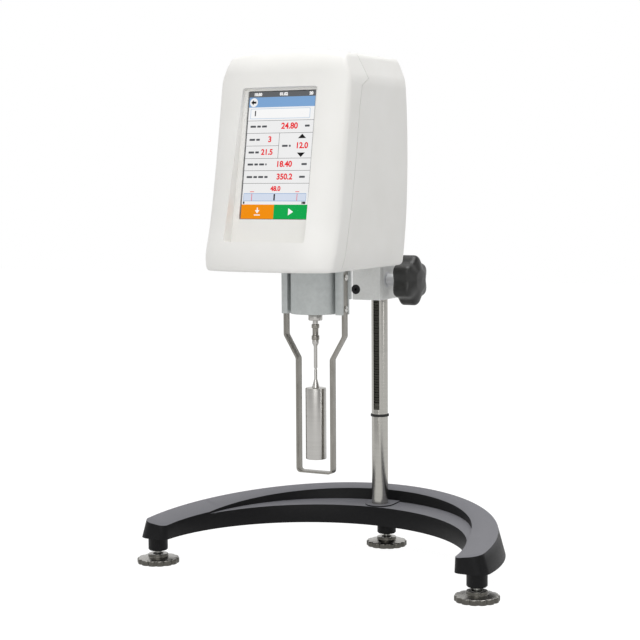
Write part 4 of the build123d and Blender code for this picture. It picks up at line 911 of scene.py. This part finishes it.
knob = {
    "radius": 24.0, "length": 21.5, "start": 29.6, "lobes": 6.0, "depth": 3.9, "narrowness": 0.95,
    "hubRadius": 6.0, "axis": (122.0, 266.7),  # y and z of its axis
    "faceFall": 4.5, "domeRadius": 10.8, "domeFall": 0.8, "edges": (3.0, 5.0, 12.0),  # its crowned face
}
profile = roundedProfile([(0, 0), (knob["radius"], 0), (knob["radius"], knob["length"] - knob["faceFall"]),
                          (knob["domeRadius"], knob["length"] - knob["domeFall"]), (0, knob["length"])],
                         knob["edges"])
grip = turnedMesh("knobGrip", profile, 180)
runTree(grip, lobeTree("knobLobes", "phenolicBlack"),
        {"Lobes": knob["lobes"], "Depth": knob["depth"] * mm, "Radius": knob["radius"] * mm,
         "Hub Radius": knob["hubRadius"] * mm, "Narrowness": knob["narrowness"]})
axisY, axisZ = knob["axis"]
grip.data.transform(Matrix.Translation(alongZ(knob["start"], axisY, axisZ))
                    @ Matrix.Rotation(math.radians(90), 4, "Y"))
smoothShade(grip, 60)
dress(grip, "lift_knob")

foot = {
    "radius": 19.9, "height": 5.5, "hubRadius": 9.5, "hubTop": 9.0, "wellRadius": 5.0, "wellDepth": 1.6,
    "notches": 14.0, "depth": 1.5, "narrowness": 3.0, "notchReach": 5.0,
    "rimDrop": 0.6, "hubFoot": (9.6, 6.2), "edges": (0.9, 1.1, 0.5, 0.5, 0.4, 0.3),  # slope from rim to hub
    "places": {"left": (-163.5, -14.0), "right": (163.5, -14.0), "rear": (0.0, 150.0)},
}
wellFloor = foot["hubTop"] - foot["wellDepth"]
profile = roundedProfile([(0, 0), (foot["radius"], 0), (foot["radius"], foot["height"] - foot["rimDrop"]),
                          foot["hubFoot"], (foot["hubRadius"], foot["hubTop"]),
                          (foot["wellRadius"], foot["hubTop"]), (foot["wellRadius"], wellFloor),
                          (0, wellFloor)], foot["edges"])
notchTree = lobeTree("footNotches", "nickelPlate")
for side, (x, y) in foot["places"].items():
    disc = turnedMesh("footDisc" + side.capitalize(), profile, 168)
    runTree(disc, notchTree, {"Lobes": foot["notches"], "Depth": foot["depth"] * mm,
                              "Radius": foot["radius"] * mm,
                              "Hub Radius": (foot["radius"] - foot["notchReach"]) * mm,
                              "Narrowness": foot["narrowness"]})
    disc.data.transform(Matrix.Translation(alongZ(x, y, 0)))
    smoothShade(disc, 45)
    dress(disc, "foot_disc_" + side)
print("stage: knob and foot discs")


# ---------- camera, floor and light

view = {"lens": 93.9, "place": (0.6993, -1.3662, 0.3666), "turn": 27.52, "pitch": 4.93, "roll": -0.329}

turn, pitch, roll = (math.radians(view[k]) for k in ("turn", "pitch", "roll"))
ahead = Vector((-math.sin(turn) * math.cos(pitch), math.cos(turn) * math.cos(pitch), -math.sin(pitch)))
level = Vector((math.cos(turn), math.sin(turn), 0))
upright = level.cross(ahead)
right = level * math.cos(roll) + upright * math.sin(roll)
up = upright * math.cos(roll) - level * math.sin(roll)
cameraData = bpy.data.cameras.new("camera")
cameraData.lens = view["lens"]
cameraData.sensor_width = 36
cameraData.clip_end = 50
camera = addObject("camera", cameraData)
camera.matrix_world = Matrix((right, up, -ahead)).transposed().to_4x4()
camera.location = view["place"]
bpy.context.scene.camera = camera

floorMesh = bpy.data.meshes.new("floor")
reach = 4  # metres from the middle to the floor's edge
floorMesh.from_pydata([(-reach, -reach, 0), (reach, -reach, 0), (reach, reach, 0), (-reach, reach, 0)], [],
                      [(0, 1, 2, 3)])
floor = addObject("floor", floorMesh)
floorFinish, tree = newMaterial("paleFloor")
path = addNode(tree, "ShaderNodeLightPath")
straight = calc(tree, "MAXIMUM", (path, "Is Camera Ray"), (path, "Is Transmission Ray"))
seen = calc(tree, "MAXIMUM", straight, (path, "Is Glossy Ray"))
# seen nearly white, a little dimmer in reflections
dimmer = addNode(tree, "ShaderNodeMapRange", {"Value": (path, "Is Glossy Ray"), "To Min": 0.97,
                                              "To Max": 0.65})
glow = calc(tree, "MULTIPLY", seen, (dimmer, "Result"))
lit = addNode(tree, "ShaderNodeEmission", {"Color": linearColour("#FFFFFF"), "Strength": glow})
bounce = mixed(tree, seen, linearColour("#D8D8D8"), linearColour("#5E5E5E"))
paper = addNode(tree, "ShaderNodeBsdfDiffuse", {"Color": bounce})
both = addNode(tree, "ShaderNodeAddShader", {0: (lit, "Emission"), 1: (paper, "BSDF")})
addNode(tree, "ShaderNodeOutputMaterial", {"Surface": (both, "Shader")})
floor.data.materials.append(floorFinish)

studio = {
    # brightness of the room from the left of the camera (0) to its right (1), and behind the object
    "panels": ((0.0, 0.45), (0.25, 0.55), (0.40, 0.90), (0.60, 0.90), (0.73, 0.13), (0.86, 0.19),
               (1.0, 0.40)),
    "back": 0.85,
}
world = bpy.data.worlds.new("studio")
bpy.context.scene.world = world
world.use_nodes = True
tree = world.node_tree
tree.nodes.clear()
path = addNode(tree, "ShaderNodeLightPath")
straight = calc(tree, "MAXIMUM", (path, "Is Camera Ray"), (path, "Is Transmission Ray"))
toward = addNode(tree, "ShaderNodeTexCoord")
side = addNode(tree, "ShaderNodeVectorMath", {0: (toward, "Generated"), 1: tuple(level)},
               operation="DOT_PRODUCT")
near = addNode(tree, "ShaderNodeVectorMath", {0: (toward, "Generated"),
                                              1: (math.sin(turn), -math.cos(turn), 0)},
               operation="DOT_PRODUCT")
across = addNode(tree, "ShaderNodeMapRange", {"Value": (side, "Value"), "From Min": -1.0, "From Max": 1.0})
panels = addNode(tree, "ShaderNodeValToRGB", {"Fac": (across, "Result")})
ramp = panels.color_ramp
ramp.interpolation = "B_SPLINE"
for place, glare in studio["panels"][:-2]:
    ramp.elements.new(place)
for element, (place, glare) in zip(sorted(ramp.elements, key=lambda e: e.position), studio["panels"]):
    element.position = place
    element.color = (glare, glare, glare, 1)
behind = addNode(tree, "ShaderNodeMapRange", {"Value": (near, "Value"), "From Min": -0.2, "From Max": -0.7})
surround = mixed(tree, (behind, "Result"), (panels, "Color"), (studio["back"],) * 3 + (1,))
shown = mixed(tree, straight, surround, (1, 1, 1, 1))
sky = addNode(tree, "ShaderNodeBackground", {"Color": shown, "Strength": 1.0})
addNode(tree, "ShaderNodeOutputWorld", {"Surface": (sky, "Background")})

lamps = {
    # the aim is the height on the z axis that the lamp points at
    "keyLamp": dict(place=(0.75, -2.15, 1.3), aim=0.3, size=(1.5, 1.5), power=13.5),
    "fillLamp": dict(place=(-1.9, -0.6, 1.1), aim=0.3, size=(1.4, 1.4), power=2),
    "topLamp": dict(place=(0.3, 0.1, 2.2), aim=0.3, size=(1.5, 1.5), power=24),
    "edgeLamp": dict(place=(1.9, -0.15, 0.6), aim=0.38, size=(0.18, 1.6), power=2.5),
}
for name, lamp in lamps.items():
    lampData = bpy.data.lights.new(name, "AREA")
    lampData.energy = lamp["power"]
    lampData.shape = "RECTANGLE"
    lampData.size, lampData.size_y = lamp["size"]
    lampObject = addObject(name, lampData)
    lampObject.location = lamp["place"]
    beam = Vector((0, 0, lamp["aim"])) - Vector(lamp["place"])
    lampObject.rotation_euler = beam.to_track_quat("-Z", "Y").to_euler()
bpy.context.scene.view_settings.view_transform = "Standard"
print("stage: camera, floor and lamps")
